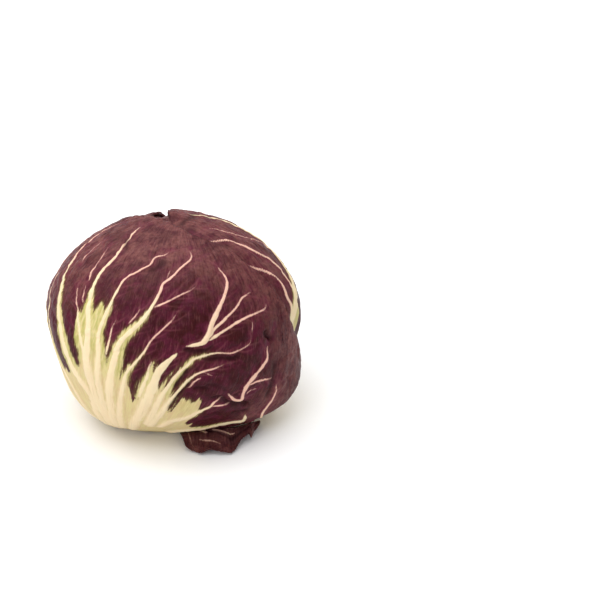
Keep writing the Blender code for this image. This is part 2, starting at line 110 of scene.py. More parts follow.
# Fine form of a leaf
BASE_CELL = 1.3
BASE_UNTIL = 44.0
INNER_STEP = 4
ROUTE_STEPS = 6
SIDE_VEIN_SPACING = 5.0
SIDE_VEIN_STEP = 1.1
SIDE_VEIN_WIDTH = 0.55
SIDE_VEIN_HEIGHT = 0.16
SIDE_VEIN_SLANT = (24.0, 46.0)
SIDE_VEIN_LENGTH = (6.0, 15.0)
SIDE_VEIN_SHIFT = 1.2
SIDE_VEIN_CURL = (0.01, 0.05)
SIDE_VEIN_TURN = 0.16
LOOK_AHEAD = 0.8
LONG_VEIN = 60.0
LONG_VEIN_BARE = 0.38
SHORT_VEIN_BARE = 2.0
VEIN_TAPER = 9.0
VEIN_END = 0.3
VEIN_FADE = 4.0
VEIN_WOBBLE = 0.2
VEIN_WOBBLE_SPACING = 1.8
HIGH_VEIN_POLAR = 78.0
HIGH_VEIN_BLEND = 24.0
HIGH_VEIN_THINNING = 0.24
# How wide a vein's pale flanks are along it, as a multiple of its halo
HALO_SHAPE = ((0.0, 2.2), (0.3, 1.7), (0.5, 1.0), (0.8, -1.0))
PAINT_SOFTNESS = 0.8
PALE_REACH = 6.0
PALE_FRAY = ((2.4, 2.8), (1.4, 0.9))
WEDGE_WOBBLE = 0.3
GREEN_ABOVE_BASE = 12.0
VEIN_FADES_IN_BASE = 14.0
# The tone turns browner and paler towards the crown from here: partly ageing, partly painted light from
# above
AGED_AND_LIT_FROM = 76.0
AGED_AND_LIT_BLEND = 82.0
MARGIN_DRY = 0.9
DRY_DARKNESS = 0.7
# How much shade is painted into the bottoms of creases
CREASE_PAINTED_SHADE = 0.8
CREST_AGAINST_GREEN = 0.45
NEAR_VEIN = 4.0
GLOW_WIDTH = 2.2
FLESHY_UNTIL = 55.0
FLESHY_BLEND = 30.0
# Heights and spacings of the lumps in a leaf's face
PUFF_LUMPS = ((0.45, 2.6, 4), (0.2, 1.3, 8))
BROAD_WAVE = (0.3, 13.0, 5)
SMALL_WAVE = (0.24, 6.0, 6)
FOLD_BENDING = 2.0
FOLD_BEND_SPACING = 7.0
FOLDS = (
    # spacing and height in millimetres, steepness, seed
    (9.0, 0.5, 2.4, 9),
    (4.2, 0.22, 1.2, 10),
)

# Sizes of the colour patterns in millimetres. A leaf's cells are far finer than the grain here,
# which is drawn as coarse as it needs to show.
BROAD_MOTTLE = 15.0
MIDDLE_MOTTLE = 5.0
FINE_MOTTLE = 1.4
LEAF_GRAIN = 0.7
STREAK = (1.3, 9.0)
FINE_STREAK = (0.6, 5.0)
FIBRE = (0.45, 14.0)
FLESH_GRAIN = 0.6
FLESH_SPOTS = 1.2
HEART_PATCHES = 9.0
STEM_PATCHES = 2.5

# Torn leaf that lies under the head, seen from above
FLAP_ROOT = ((3.0, -30.5), (14.0, -29.5), (25.0, -28.5), (35.0, -26.5), (42.5, -22.5))
FLAP_EDGE = ((7.5, -44.5), (15.0, -47.5), (29.0, -48.0), (34.5, -39.5), (42.0, -29.0))
FLAP_THICKNESS = 1.1
FLAP_EDGE_THICKNESS = 0.7
FLAP_WAVE = 1.3
FLAP_WAVES_ACROSS = 2.6
FLAP_REST = 0.1
FLAP_CLEARANCE = 0.8
FLAP_TUCK = 0.75
FLAP_LIFT = 6.0
FLAP_LIFT_FROM = 0.55
FLAP_COLUMNS = 241
FLAP_ROWS = 93
FLAP_NOTCH = 0.03
FLAP_TEETH = ((1.0, 0.045, 5), (0.7, 0.014, 6))
FLAP_SPIKE = 0.45
FLAP_SPIKE_AT = 0.87
FLAP_SPIKE_WIDTH = 0.022
FLAP_FOLD_FROM = 0.28
FLAP_FOLD = (
    (0.0, 0.0), (FLAP_FOLD_FROM, 0.08), (0.33, 0.2), (0.52, 0.5), (0.68, 0.52), (0.8, 0.6), (1.0, 0.7),
)
FLAP_FOLD_HEIGHT = 0.9
FLAP_LUMPS = ((0.5, 3.2, 8), (0.25, 1.3, 9))
FLAP_VEIN_HEIGHT = 0.3
FLAP_LENGTH = 14.0
FLAP_VEINS = (
    # route as shares across and out, full widths in millimetres, and pinkness
    (((0.22, 0.0), (0.26, 0.14), (0.30, 0.30)), (2.6, 2.2, 1.2), 0.0),
    (((0.33, 0.15), (0.42, 0.33), (0.52, 0.46), (0.60, 0.48)), (0.9, 0.7, 0.3), 0.3),
    (((0.23, 0.50), (0.32, 0.58), (0.42, 0.70)), (0.7, 1.4, 0.5), 1.0),
    (((0.36, 0.05), (0.50, 0.26), (0.64, 0.34), (0.78, 0.36)), (0.8, 0.6, 0.3), 1.0),
    (((0.10, 0.25), (0.12, 0.60), (0.16, 0.9)), (0.6, 0.5, 0.3), 1.0),
)

# Camera and lights
CAMERA_LENS = 95.0
CAMERA_SENSOR = 36.0
CAMERA_DISTANCE = 0.75
CAMERA_ELEVATION = 30.0
HEAD_PIXEL = (172.0, 320.0)
FRAME_PIXELS = 600.0
FLOOR_REACH = 4.0
FLOOR_WHITE = 0.95
ROOM_LIGHT = 0.62
LIGHTS = (
    # name, place, aim, width in metres, and power in watts
    ("overhead_softbox", (-0.15, 0.05, 0.85), (0.0, 0.0, 0.05), 1.2, 10.0),
    ("front_softbox", (-0.55, -0.75, 0.55), (0.0, 0.0, 0.04), 0.6, 2.0),
)


@dataclass(frozen=True)
class Vein:
    """A pale vein: its route, its full width and pinkness from start to end, and its height."""

    route: tuple
    widths: tuple
    rise: float
    pink: tuple = (0.3, 0.8)
    halo: float = 0.0
    sides: bool = True


@dataclass(frozen=True)
class Patch:
    """A soft oval on a leaf: polar, azimuth, half sizes along and across, and its strength."""

    polar: float
    azimuth: float
    along: float
    across: float
    amount: float


@dataclass(frozen=True)
class Crease:
    """A fold line on a leaf: its route, how far it sinks (or stands out, below 0), and its width."""

    route: tuple
    sink: float
    width: float


@dataclass(frozen=True)
class Leaf:
    """One wrapper leaf: its margins, veins, colour zones, creases and swellings."""

    name: str
    node: str
    crown: tuple
    middle: float
    left: tuple
    right: tuple
    tip: tuple
    veins: tuple
    pale: tuple
    wedges: tuple
    greens: tuple
    age_and_light_patches: tuple
    creases: tuple
    lifts: tuple
    cell: float
    seed: int


FRONT_VEINS = (
    Vein(((22, -78), (40, -82), (58, -88), (72, -92), (86, -95), (100, -99), (116, -104), (132, -109)),
         (3.0, 1.8, 0.5), 0.8, (0.0, 0.8), 1.3),
    Vein(((84, -94.5), (96, -93), (110, -94), (124, -98), (138, -102)),
         (1.2, 0.8, 0.4), 0.4, (0.4, 0.9)),
    Vein(((22, -68), (40, -70), (56, -74), (70, -79), (82, -82), (94, -86), (106, -90), (120, -94)),
         (2.6, 1.4, 0.4), 0.7, (0.0, 0.8), 1.1),
    Vein(((22, -60), (36, -55), (51, -57), (60, -62), (72, -69), (82, -73), (90, -75), (100, -80),
          (112, -88)), (3.0, 1.6, 0.4), 0.7, (0.0, 0.5), 1.3),
    Vein(((22, -45), (36, -40), (47, -37), (55, -40), (61, -45), (70, -50.5), (80, -56), (90, -61.5),
          (100, -66), (110, -72), (120, -79), (130, -85), (140, -90), (150, -92)),
         (4.2, 2.2, 0.6), 1.0, (0.0, 0.9), 1.5),
    Vein(((60, -37), (75, -39), (85, -43), (97, -49), (101, -52), (111, -57)),
         (1.8, 1.1, 0.3), 0.5, (0.1, 0.9), 1.6),
    Vein(((100, -47), (108, -50), (113, -52)), (0.9, 0.6, 0.3), 0.2, (0.6, 0.9)),
    Vein(((112, -50), (118, -53), (127, -54), (137, -59)), (0.9, 0.6, 0.3), 0.2, (0.6, 0.9)),
    Vein(((22, -34), (32, -32), (42, -32), (54, -34), (62, -35), (74, -37.5), (83, -38), (92, -39.5),
          (100, -42.5), (110, -45), (120, -46), (130, -44.5), (136, -46), (142, -48), (150, -52),
          (158, -57)), (4.0, 2.9, 0.7), 1.1, (0.0, 0.6), 2.4),
    Vein(((22, -32), (40, -30), (56, -30), (66, -31), (78, -31), (89, -33), (96, -32.5), (104, -31.5),
          (120, -29.5), (128, -22.5), (133, -17.5), (138, -16), (141, -9), (146, -5)),
         (3.2, 1.8, 0.4), 0.9, (0.0, 0.9), 1.9),
    Vein(((79, -27.5), (87, -27), (95, -27), (101.5, -25.5)), (1.1, 0.7, 0.3), 0.3, (0.3, 0.6)),
    Vein(((22, -27), (45, -24.5), (61, -24), (72, -23.5), (81, -22.5), (88, -21.8), (94, -18.8),
          (101, -14.2), (109, -10.5), (118, -7.5), (123, -6.5), (126.5, -3), (132.2, 2), (136.2, 6.8),
          (139, 10.5), (142, 11.8), (145, 11.2), (147.2, 12.2)), (3.6, 2.4, 0.6), 1.0, (0.0, 1.0), 1.9),
    Vein(((109.5, -10), (112, -6), (115, -1.5), (118.8, 4), (122, 9.8), (125.5, 14)),
         (1.0, 0.6, 0.3), 0.3, (0.6, 1.0)),
    Vein(((98, -20), (105.5, -16.5), (111, -15)), (0.8, 0.5, 0.3), 0.2, (0.9, 1.0)),
    Vein(((24, -20), (47, -18.5), (64, -17), (74, -16), (80, -13), (87.5, -9.5), (93.5, -7.5), (99, -4),
          (106, 1), (112, 3.5)), (3.0, 1.1, 0.3), 0.8, (0.0, 0.9), 1.4),
    Vein(((62, -8), (70, -6.8), (75, -6), (80.5, -6), (86, -4.5)),
         (1.6, 1.1, 0.3), 0.5, (0.3, 0.8), 0.9),
    Vein(((24, -9), (40, -7), (49, -5), (63, -3), (71, -2.2), (78, -1.5), (83, 0.5), (89, 4.5),
          (91, 6.5)), (3.2, 3.8, 3.6, 2.6), 1.0, (0.0, 0.0), 1.9),
    Vein(((93.5, 7.5), (95, 11.5), (97, 16), (101.8, 18.5), (105.8, 19.8), (109.5, 21.5), (114.2, 24.2),
          (118.5, 27.2), (123.5, 30.2), (127, 31.5), (129.8, 31), (133.8, 29.2), (136.8, 28.2)),
         (0.7, 2.8, 2.6, 1.8, 1.2, 0.6), 1.2, (0.3, 0.9)),
    Vein(((98, 17), (101, 19.5), (104, 21.5), (107, 25), (111, 29.8), (114.5, 34.2), (117.8, 37.8),
          (119.5, 42.2), (120.8, 45), (123, 45.2)), (1.9, 1.1, 0.5), 0.5, (0.4, 0.9)),
    Vein(((97.5, 18), (100.8, 22.5), (105, 29.2), (108.5, 36.5), (110.8, 44.8), (112, 50.2), (114, 52),
          (116.8, 52.8)), (1.9, 1.1, 0.5), 0.5, (0.4, 0.9)),
    Vein(((101.5, 53.2), (103.5, 55.2), (105.2, 55.8)), (1.0, 0.8, 0.4), 0.3, (0.6, 0.8), 0.0, False),
    Vein(((40, 2), (52, 2), (62, 2.5), (69.5, 4), (79, 7), (85, 10.8), (89, 13.8), (92.2, 22), (93, 30),
          (95.2, 35.8), (98, 39.8), (103, 40.8)), (2.8, 1.0, 0.3), 0.6, (0.0, 0.9), 1.2),
    Vein(((38, 5), (50, 6), (60, 7.5), (67.5, 9.2), (74, 11.5), (79, 14), (83.2, 18.2), (87, 27),
          (88.5, 29.5)), (2.6, 1.5, 0.3), 0.7, (0.0, 0.9), 1.0),
    Vein(((83.2, 18.2), (82, 22), (81, 25.5)), (0.7, 0.5, 0.3), 0.2, (0.6, 0.8), 0.0, False),
    Vein(((72, 13), (74, 15), (77, 16), (80, 18.5), (81.2, 20.5)),
         (0.3, 0.8, 0.4), 0.3, (0.6, 0.9), 0.0, False),
    Vein(((38, 13), (46.5, 15.5), (53.2, 22.8), (60.2, 26.8), (63.8, 30), (67, 30.5), (69.5, 33),
          (71, 37.2)), (2.6, 1.9, 0.4), 0.7, (0.0, 0.9), 1.1),
    Vein(((63.8, 30), (65.5, 35), (67, 40), (68.5, 43)), (1.1, 0.5, 0.3), 0.3, (0.6, 0.9), 0.0, False),
    Vein(((73.5, 34), (71.5, 37.2), (69.5, 41.2), (70, 44.6), (73.8, 43.4), (79, 43.6), (85.2, 47.8),
          (90, 50.8), (94.5, 50.5), (98, 51.8)), (0.5, 1.6, 2.0, 1.6, 0.8), 1.1, (0.8, 0.7)),
    Vein(((77.2, 43.8), (79, 47), (80, 50), (80.8, 56.8), (81.8, 61)),
         (1.2, 0.8, 0.4), 0.4, (0.8, 0.9)),
    Vein(((72.2, 45.8), (75, 47.8), (76.5, 53.2)), (0.8, 0.5, 0.3), 0.2, (0.9, 0.9), 0.0, False),
    Vein(((30, 30), (38, 37), (42.2, 45), (45.5, 49), (49, 51.5), (53.8, 56), (56.3, 59.5), (58.5, 58.5),
          (62, 55)), (3.8, 3.6, 3.0, 1.9), 1.2, (0.0, 0.3), 0.9),
    Vein(((57.5, 66), (59.5, 70), (62, 66.5), (65.2, 64.2), (71.8, 63.8), (76.2, 63), (80, 60.5)),
         (1.0, 1.1, 0.4), 0.5, (0.4, 0.9)),
    Vein(((101, 40.5), (106, 41), (110, 41.5)), (0.5, 0.5, 0.3), 0.2, (0.7, 0.9), 0.0, False),
    Vein(((118, -66), (124, -68), (131, -70), (138, -71)), (0.6, 0.4, 0.3), 0.2, (0.8, 0.9)),
    Vein(((125, -5), (130, -4), (135, -1)), (0.4, 0.3, 0.2), 0.1, (0.8, 0.9), 0.0, False),
)
FRONT_PALE = (
    (-120, 52), (-104, 60), (-98, 64), (-90, 58), (-80, 58), (-66, 56), (-54, 60), (-50, 64),
    (-44, 67), (-38, 76), (-30, 74), (-26, 70), (-16, 68), (-13, 62), (-11, 55), (-8, 60),
    (-3.5, 72), (3, 66), (7.6, 64), (9, 54), (11.5, 56),
    (13, 66), (24, 67), (26, 48), (30, 44), (40, 40), (56, 36), (90, 32),
)
FRONT_WEDGES = (
    # route, full widths at its start, middle and end
    (((62, -88), (74, -88), (88, -90), (100, -93)), (0.6, 4.0, 7.0)),
    (((44, -92), (54, -94), (66, -97), (80, -100)), (0.5, 4.0, 9.0)),
    (((48, -73), (58, -77), (66, -81)), (0.5, 1.8, 3.0)),
    (((66, -54), (76, -60), (85, -66), (92, -68), (100, -72)), (0.8, 4.6, 7.0)),
    (((73, -44), (82, -48), (90, -51), (97, -54), (104, -58)), (0.8, 4.6, 7.0)),
    (((96, -46), (104, -48), (112, -50)), (0.5, 3.0, 6.0)),
    (((101, -37.5), (106, -38.5), (112, -39)), (0.5, 3.0, 6.0)),
    (((76, -26.5), (84, -26), (90, -25), (97, -24), (104, -22)), (0.6, 3.0, 8.0)),
    (((74, -16.6), (80, -16), (86, -14), (92, -12), (98, -9), (104, -5)), (0.6, 3.6, 8.0)),
    (((58, -11.2), (66, -10), (74, -9), (82, -7), (88, -5), (94, -2)), (0.6, 2.4, 5.0)),
    (((78, -3.8), (84, -3), (88, -1)), (0.4, 2.4, 4.0)),
    (((68, 2.6), (78, 5), (85, 8), (90, 10)), (0.4, 1.8, 3.0)),
    (((66, 7.4), (70.2, 9), (77.8, 10.2), (83.8, 12.2), (87, 14)), (0.5, 2.0, 0.8)),
    (((56, 9), (64, 11), (71, 12.5), (74, 16)), (0.6, 1.8, 3.0)),
    (((48, 26.5), (54, 30), (58, 36), (62, 42)), (0.6, 4.0, 9.0)),
)
FRONT_GREENS = (
    Patch(92, -43.5, 16, 4.6, 1.0),
    Patch(93, -36, 14, 3.8, 1.0),
    Patch(82, -38, 16, 8.0, 0.8),
    Patch(82, -23, 14, 3.4, 0.7),
    Patch(76, -4, 12, 4.0, 0.7),
    Patch(82, 0.5, 9, 3.0, 0.5),
    Patch(62, 17, 9, 6.0, 0.6),
    Patch(70, 5, 10, 3.0, 0.5),
    Patch(84, -66, 14, 2.4, 0.4),
)
# Patches on the browner, paler tone (below 0, darker): the two on the right side paint a sheen, the darker
# ones partly paint shade
FRONT_AGE_AND_LIGHT_PATCHES = (
    Patch(92, 68, 32, 14, 0.75),
    Patch(62, 62, 20, 9, 0.5),
    Patch(84, 34, 14, 11, -0.5),
    Patch(106, 2, 24, 22, -0.45),
    Patch(112, -60, 26, 14, 0.3),
    Patch(104, -88, 26, 16, 0.7),
    Patch(136, -80, 20, 20, 0.4),
)
FRONT_CREASES = (
    Crease(((90, 7), (92, 8), (92.4, 13), (93.5, 18.5), (97, 22.5)), 1.0, 1.0),
    Crease(((92, 24), (90.5, 30), (91.5, 36)), 0.6, 1.2),
    Crease(((84, 12), (80, 10.5), (75, 8.6), (70.5, 8)), 1.1, 0.9),
    Crease(((88, 16), (90, 23), (90.5, 31), (92.5, 37)), 0.7, 1.3),
    Crease(((76, 20), (77, 26), (76, 31), (73, 34)), 0.6, 1.2),
    Crease(((79, 15), (74, 13.5), (68, 11), (60, 9.3), (56, 9.2)), 0.9, 0.8),
    Crease(((72.8, 16), (74.2, 19), (74.8, 22.5), (73, 25)), 0.8, 0.9),
    Crease(((78, 17.5), (79.5, 20), (79.2, 24)), -0.5, 1.3),
    Crease(((69.5, 25), (70.2, 30), (69.8, 34), (67.8, 38), (67.3, 44), (67.4, 50), (66.8, 56)), 1.3, 1.2),
    Crease(((103.5, 48), (101, 49.5), (99.5, 51.5), (98, 54.5)), 1.7, 1.1),
    Crease(((90, 56), (84, 58), (77, 59.5), (70, 60)), 0.8, 1.6),
    Crease(((90, 62), (82, 64.5), (74, 66)), -0.8, 2.2),
    Crease(((60, 46), (62, 52), (65, 56)), 0.7, 1.2),
    Crease(((56, 48), (58, 53), (60.5, 56)), -0.5, 1.2),
    Crease(((53, 32), (57, 36), (62, 38)), 0.6, 1.3),
    Crease(((47, 56), (52, 61), (57, 66)), 0.9, 1.2),
    Crease(((128, -18), (133, -11), (139, -9)), 0.5, 1.6),
    Crease(((146, -54), (141, -46), (137, -41)), 0.5, 1.4),
)
FRONT_LEAF = Leaf(
    name="front_wrapper_leaf",
    node="wrapper_leaf_front",
    crown=CROWN_AXIS,
    middle=-15.0,
    left=((15, -104), (60, -108), (100, -112), (140, -118), (170, -120)),
    right=((15, 50), (40, 58), (50, 64), (60, 69), (70, 78), (80, 85), (90, 87), (170, 87)),
    tip=((-120, 146), (-110, 152), (-100, 160), (-75, 166), (-50, 169), (-20, 169), (12, 163),
         (30, 154), (45, 146), (54, 133), (62, 117), (68, 104), (75, 97), (82, 89), (88, 80)),
    veins=FRONT_VEINS,
    pale=FRONT_PALE,
    wedges=FRONT_WEDGES,
    greens=FRONT_GREENS,
    age_and_light_patches=FRONT_AGE_AND_LIGHT_PATCHES,
    creases=FRONT_CREASES,
    lifts=(
        # polar, azimuth, height, half width in millimetres
        (76, 84, 3.2, 13.0),
        (90, 74, 1.0, 9.0),
        (84, 22, 0.9, 5.0),
        (76, 31, 1.0, 5.0),
        (63, 40, 1.2, 5.0),
        (126, 62, 0.8, 7.0),
        (163, -50, 0.9, 9.0),
    ),
    cell=0.53,
    seed=11,
)
RIGHT_LEAF = Leaf(
    name="right_wrapper_leaf",
    node="wrapper_leaf_right",
    crown=(-0.42, 0.30, 0.86),
    middle=90.0,
    left=((15, 22), (60, 24), (100, 26), (170, 28)),
    right=((15, 146), (60, 152), (100, 156), (170, 158)),
    tip=((26, 142), (40, 151), (60, 156), (90, 158), (116, 157), (140, 149), (158, 134)),
    veins=(
        Vein(((15, 78), (60, 76), (80, 76.5), (88, 76.5), (91, 77.5), (94, 78.5), (97, 80), (100, 82),
              (105, 86), (112, 91), (117, 93.5), (122, 94.5), (128, 94.5), (133, 94), (138, 93),
              (143, 91), (148, 89), (151, 88.8)), (5.4, 4.2, 1.4), 1.4, (0.0, 0.3), 1.2),
        Vein(((94, 79), (97, 80), (100.5, 79.5), (104.5, 79.3), (107.2, 79.2), (110, 78.2), (113, 76.8),
              (116.5, 73.2), (121, 70), (126, 66), (129.5, 62), (133.5, 56), (136, 55.5)),
             (1.5, 1.3, 0.7), 0.7, (0.5, 0.9)),
        Vein(((84, 75.5), (88, 75.5), (91.5, 76), (95, 75.5), (98, 73.5), (101, 73), (105, 72),
              (108, 69.2), (111, 66), (114, 63), (115.5, 60)), (1.5, 1.3, 0.8), 0.7, (0.4, 0.9)),
        Vein(((112, 92), (117, 91), (120, 87), (123, 82.5), (128.5, 75), (134, 72), (138, 66)),
             (0.8, 0.6, 0.4), 0.3, (0.7, 0.9)),
        Vein(((86, 76), (89.8, 74.5), (92, 71.5), (95, 69), (98, 67.8)),
             (0.9, 0.6, 0.4), 0.3, (0.5, 0.9)),
        Vein(((15, 92), (60, 92), (80, 94), (90, 98), (112, 107), (132, 113), (148, 113)),
             (4.6, 2.4, 0.6), 1.0, (0.0, 0.9), 0.9),
        Vein(((92, 99), (104, 99), (116, 102), (130, 105), (140, 104)),
             (1.3, 0.8, 0.4), 0.4, (0.4, 0.9)),
        Vein(((15, 108), (60, 107), (90, 114), (120, 125), (144, 132)),
             (4.2, 2.2, 0.5), 1.0, (0.0, 0.9), 0.8),
        Vein(((94, 115), (108, 115), (122, 119), (136, 122)), (1.3, 0.8, 0.4), 0.4, (0.4, 0.9)),
        Vein(((15, 124), (60, 122), (90, 130), (116, 139), (136, 146)),
             (3.8, 1.9, 0.5), 0.8, (0.0, 0.9), 0.6),
        Vein(((86, 129), (100, 130), (114, 133), (128, 138)), (1.2, 0.8, 0.4), 0.3, (0.4, 0.9)),
        Vein(((15, 138), (60, 138), (90, 144), (116, 152)), (3.2, 1.4, 0.4), 0.6, (0.0, 0.9), 0.4),
    ),
    pale=((15, 62), (50, 64), (64, 68), (72, 88), (78, 92), (86, 82), (92, 84), (98, 76), (108, 82),
          (116, 72), (124, 78), (134, 64), (160, 60)),
    wedges=(
        (((66, 84), (76, 85), (88, 87), (98, 92)), (0.5, 4.0, 8.0)),
        (((64, 99), (74, 101), (86, 105), (96, 108)), (0.5, 4.0, 9.0)),
        (((62, 115), (72, 117), (84, 121), (94, 125)), (0.5, 4.0, 9.0)),
        (((60, 130), (70, 132), (82, 136), (92, 139)), (0.5, 4.0, 9.0)),
    ),
    greens=(Patch(86, 80, 16, 5.0, 0.7), Patch(82, 96, 12, 4.0, 0.7), Patch(78, 110, 12, 4.0, 0.6)),
    age_and_light_patches=(Patch(110, 74, 30, 12, 0.4), Patch(96, 120, 24, 20, -0.3)),
    creases=(
        Crease(((150, 60), (146, 78), (148, 96)), 0.6, 2.0),
        Crease(((120, 128), (112, 136), (108, 148)), 0.6, 2.0),
    ),
    lifts=((158, 80, 0.8, 8.0), (128, 146, 1.0, 9.0)),
    cell=0.6,
    seed=23,
)
LEFT_LEAF = Leaf(
    name="left_wrapper_leaf",
    node="wrapper_leaf_left",
    crown=CROWN_AXIS,
    middle=-120.0,
    left=((15, -172), (60, -176), (100, -178), (170, -178)),
    right=((15, -66), (60, -64), (100, -62), (170, -60)),
    tip=((-178, 132), (-160, 146), (-140, 152), (-120, 155), (-90, 152), (-62, 138)),
    veins=(
        Vein(((15, -166), (60, -167), (90, -169), (112, -174)), (2.8, 1.4, 0.4), 0.6, (0.0, 0.9), 0.3),
        Vein(((15, -154), (60, -155), (84, -157), (110, -162), (134, -165)),
             (3.4, 1.7, 0.5), 0.8, (0.0, 0.9), 0.6),
        Vein(((15, -141), (60, -141), (90, -143), (118, -147), (146, -148)),
             (3.8, 2.1, 0.5), 0.9, (0.0, 0.9), 0.9),
        Vein(((82, -142), (98, -137), (114, -136), (128, -139)), (1.3, 0.8, 0.4), 0.4, (0.4, 0.9)),
        Vein(((15, -126), (60, -122), (90, -120), (120, -118), (150, -112)),
             (4.4, 3.0, 0.8), 1.2, (0.0, 0.5), 1.4),
        Vein(((88, -120), (104, -125), (120, -129), (136, -130)), (1.5, 0.9, 0.4), 0.4, (0.4, 0.9)),
        Vein(((15, -112), (50, -108), (80, -104), (108, -101), (138, -92)),
             (3.8, 2.2, 0.5), 0.9, (0.0, 0.9), 0.9),
        Vein(((90, -103), (104, -107), (118, -107)), (1.2, 0.8, 0.4), 0.3, (0.4, 0.9)),
        Vein(((15, -98), (50, -92), (80, -86), (104, -82)), (3.0, 1.6, 0.5), 0.7, (0.0, 0.9), 0.4),
    ),
    pale=((-180, 60), (-166, 74), (-160, 72), (-154, 80), (-148, 78), (-141, 86), (-132, 80), (-122, 94),
          (-114, 82), (-106, 84), (-98, 72), (-60, 68)),
    wedges=(
        (((60, -161), (70, -161), (82, -162), (92, -164)), (0.5, 3.5, 8.0)),
        (((62, -148), (72, -148), (84, -149), (94, -150)), (0.5, 3.5, 8.0)),
        (((64, -131.5), (74, -131.5), (86, -131), (96, -131)), (0.5, 4.5, 10.0)),
        (((62, -115), (72, -113.5), (84, -112), (96, -110)), (0.5, 4.0, 9.0)),
        (((58, -99), (68, -97), (80, -95), (92, -92)), (0.5, 4.0, 9.0)),
    ),
    greens=(Patch(84, -122, 16, 5.5, 0.9), Patch(80, -141, 12, 4.5, 0.7), Patch(80, -104, 12, 4.5, 0.7)),
    age_and_light_patches=(Patch(104, -130, 22, 18, -0.3),),
    creases=(Crease(((128, -172), (120, -160), (122, -148)), 0.6, 2.0),),
    lifts=((140, -165, 1.0, 9.0),),
    cell=0.66,
    seed=37,
)
BACK_LEAF = Leaf(
    name="back_wrapper_leaf",
    node="wrapper_leaf_back",
    crown=(0.10, -0.30, 0.95),
    middle=180.0,
    left=((15, 108), (60, 100), (100, 98), (170, 100)),
    right=((15, 246), (60, 254), (100, 258), (170, 256)),
    tip=((98, 138), (120, 148), (150, 154), (180, 156), (210, 154), (240, 147), (258, 136)),
    veins=(
        Vein(((15, 130), (60, 124), (90, 121), (120, 124)), (3.0, 1.6, 0.4), 0.7, (0.0, 0.9), 0.4),
        Vein(((15, 143), (60, 138), (86, 135), (112, 136), (138, 140)),
             (3.4, 1.8, 0.5), 0.8, (0.0, 0.9), 0.6),
        Vein(((15, 156), (60, 151), (90, 149), (120, 150), (146, 154)),
             (3.8, 2.2, 0.5), 0.9, (0.0, 0.9), 0.9),
        Vein(((84, 150), (100, 157), (116, 160), (132, 161)), (1.4, 0.9, 0.4), 0.4, (0.4, 0.9)),
        Vein(((15, 178), (60, 172), (90, 171), (120, 172), (152, 175)),
             (4.8, 3.4, 0.9), 1.3, (0.0, 0.4), 1.6),
        Vein(((80, 171), (98, 164), (114, 163)), (1.5, 0.9, 0.4), 0.4, (0.3, 0.9)),
        Vein(((90, 171), (106, 179), (122, 184), (140, 185)), (1.7, 1.0, 0.4), 0.5, (0.3, 0.9)),
        Vein(((15, 194), (60, 190), (84, 190), (104, 194), (124, 198)),
             (3.6, 2.0, 0.4), 0.8, (0.0, 0.9), 0.8),
        Vein(((15, 208), (60, 207), (90, 209), (120, 212), (146, 212)),
             (3.8, 2.2, 0.5), 0.9, (0.0, 0.9), 0.9),
        Vein(((92, 209), (106, 203), (122, 204)), (1.3, 0.8, 0.4), 0.3, (0.4, 0.9)),
        Vein(((15, 224), (60, 229), (90, 233), (120, 236)), (3.4, 1.7, 0.4), 0.8, (0.0, 0.9), 0.6),
        Vein(((15, 238), (60, 245), (90, 250), (112, 252)), (2.8, 1.4, 0.4), 0.6, (0.0, 0.9), 0.3),
    ),
    pale=((96, 60), (122, 74), (130, 72), (137, 80), (144, 78), (150, 86), (160, 82), (172, 98), (181, 84),
          (190, 84), (199, 78), (208, 86), (218, 76), (230, 78), (238, 66), (260, 60)),
    wedges=(
        (((62, 131), (72, 130.5), (84, 129), (94, 129)), (0.5, 3.5, 8.0)),
        (((62, 145), (72, 144), (84, 142.5), (94, 142)), (0.5, 3.5, 8.0)),
        (((64, 161), (74, 160.5), (86, 160), (98, 160)), (0.5, 4.5, 10.0)),
        (((64, 181), (74, 181), (86, 181), (98, 183)), (0.5, 4.0, 9.0)),
        (((62, 198.5), (72, 199), (84, 200), (94, 201)), (0.5, 3.5, 9.0)),
        (((62, 218), (72, 219), (84, 221), (94, 222)), (0.5, 4.5, 10.0)),
        (((60, 237), (70, 238), (82, 240), (92, 242)), (0.5, 3.5, 8.0)),
    ),
    greens=(Patch(86, 171, 17, 6.0, 0.9), Patch(80, 150, 12, 4.5, 0.7), Patch(80, 208, 12, 4.5, 0.7),
            Patch(78, 190, 10, 4.0, 0.6)),
    age_and_light_patches=(Patch(100, 160, 22, 18, -0.3), Patch(104, 220, 22, 16, 0.3)),
    creases=(Crease(((134, 190), (126, 202), (128, 216)), 0.6, 2.0),),
    lifts=(),
    cell=0.66,
    seed=51,
)
LEAVES = (FRONT_LEAF, RIGHT_LEAF, LEFT_LEAF, BACK_LEAF)
LEAF_MARKS = ("vein", "pink", "side", "glow", "crest", "pale", "green", "crease", "age", "dry")

# Heart and stem
HEART_RINGS = 182
HEART_SIDES = 300
STEM_SIDES = 96
STEM_RING = 0.62
STEM_RING_WIDTH = 0.09
HEART_STEP = 0.8
HEART_STEP_WIDTH = 1.6
HEART_EDGES = ((140.0, 10.0, 2, 20.0), (155.0, 7.0, 3, 140.0))
HEART_VEIN_AZIMUTHS = (-50, -18, 16, 53, 88, 126, 163, 201, 240)
HEART_VEIN_WIDTH = 0.9
HEART_PALE_UNTIL = 105.0
HEART_PALE_BLEND = 35.0


def unit(vector):
    """The vector, or each row of vectors, at length one."""
    vector = np.asarray(vector, float)
    return vector / np.linalg.norm(vector, axis=-1, keepdims=True)


def smoothstep(value):
    """A soft step from 0 to 1 as value goes from 0 to 1."""
    value = np.clip(value, 0.0, 1.0)
    return value * value * (3.0 - 2.0 * value)


def rounded(points, at, span=CORNER_SPAN):
    """A line through listed points, read at `at`, with its corners rounded over `span`."""
    places, values = zip(*points)
    steps = np.linspace(-span, span, 5)
    return np.mean([np.interp(at + step, places, values) for step in steps], axis=0)


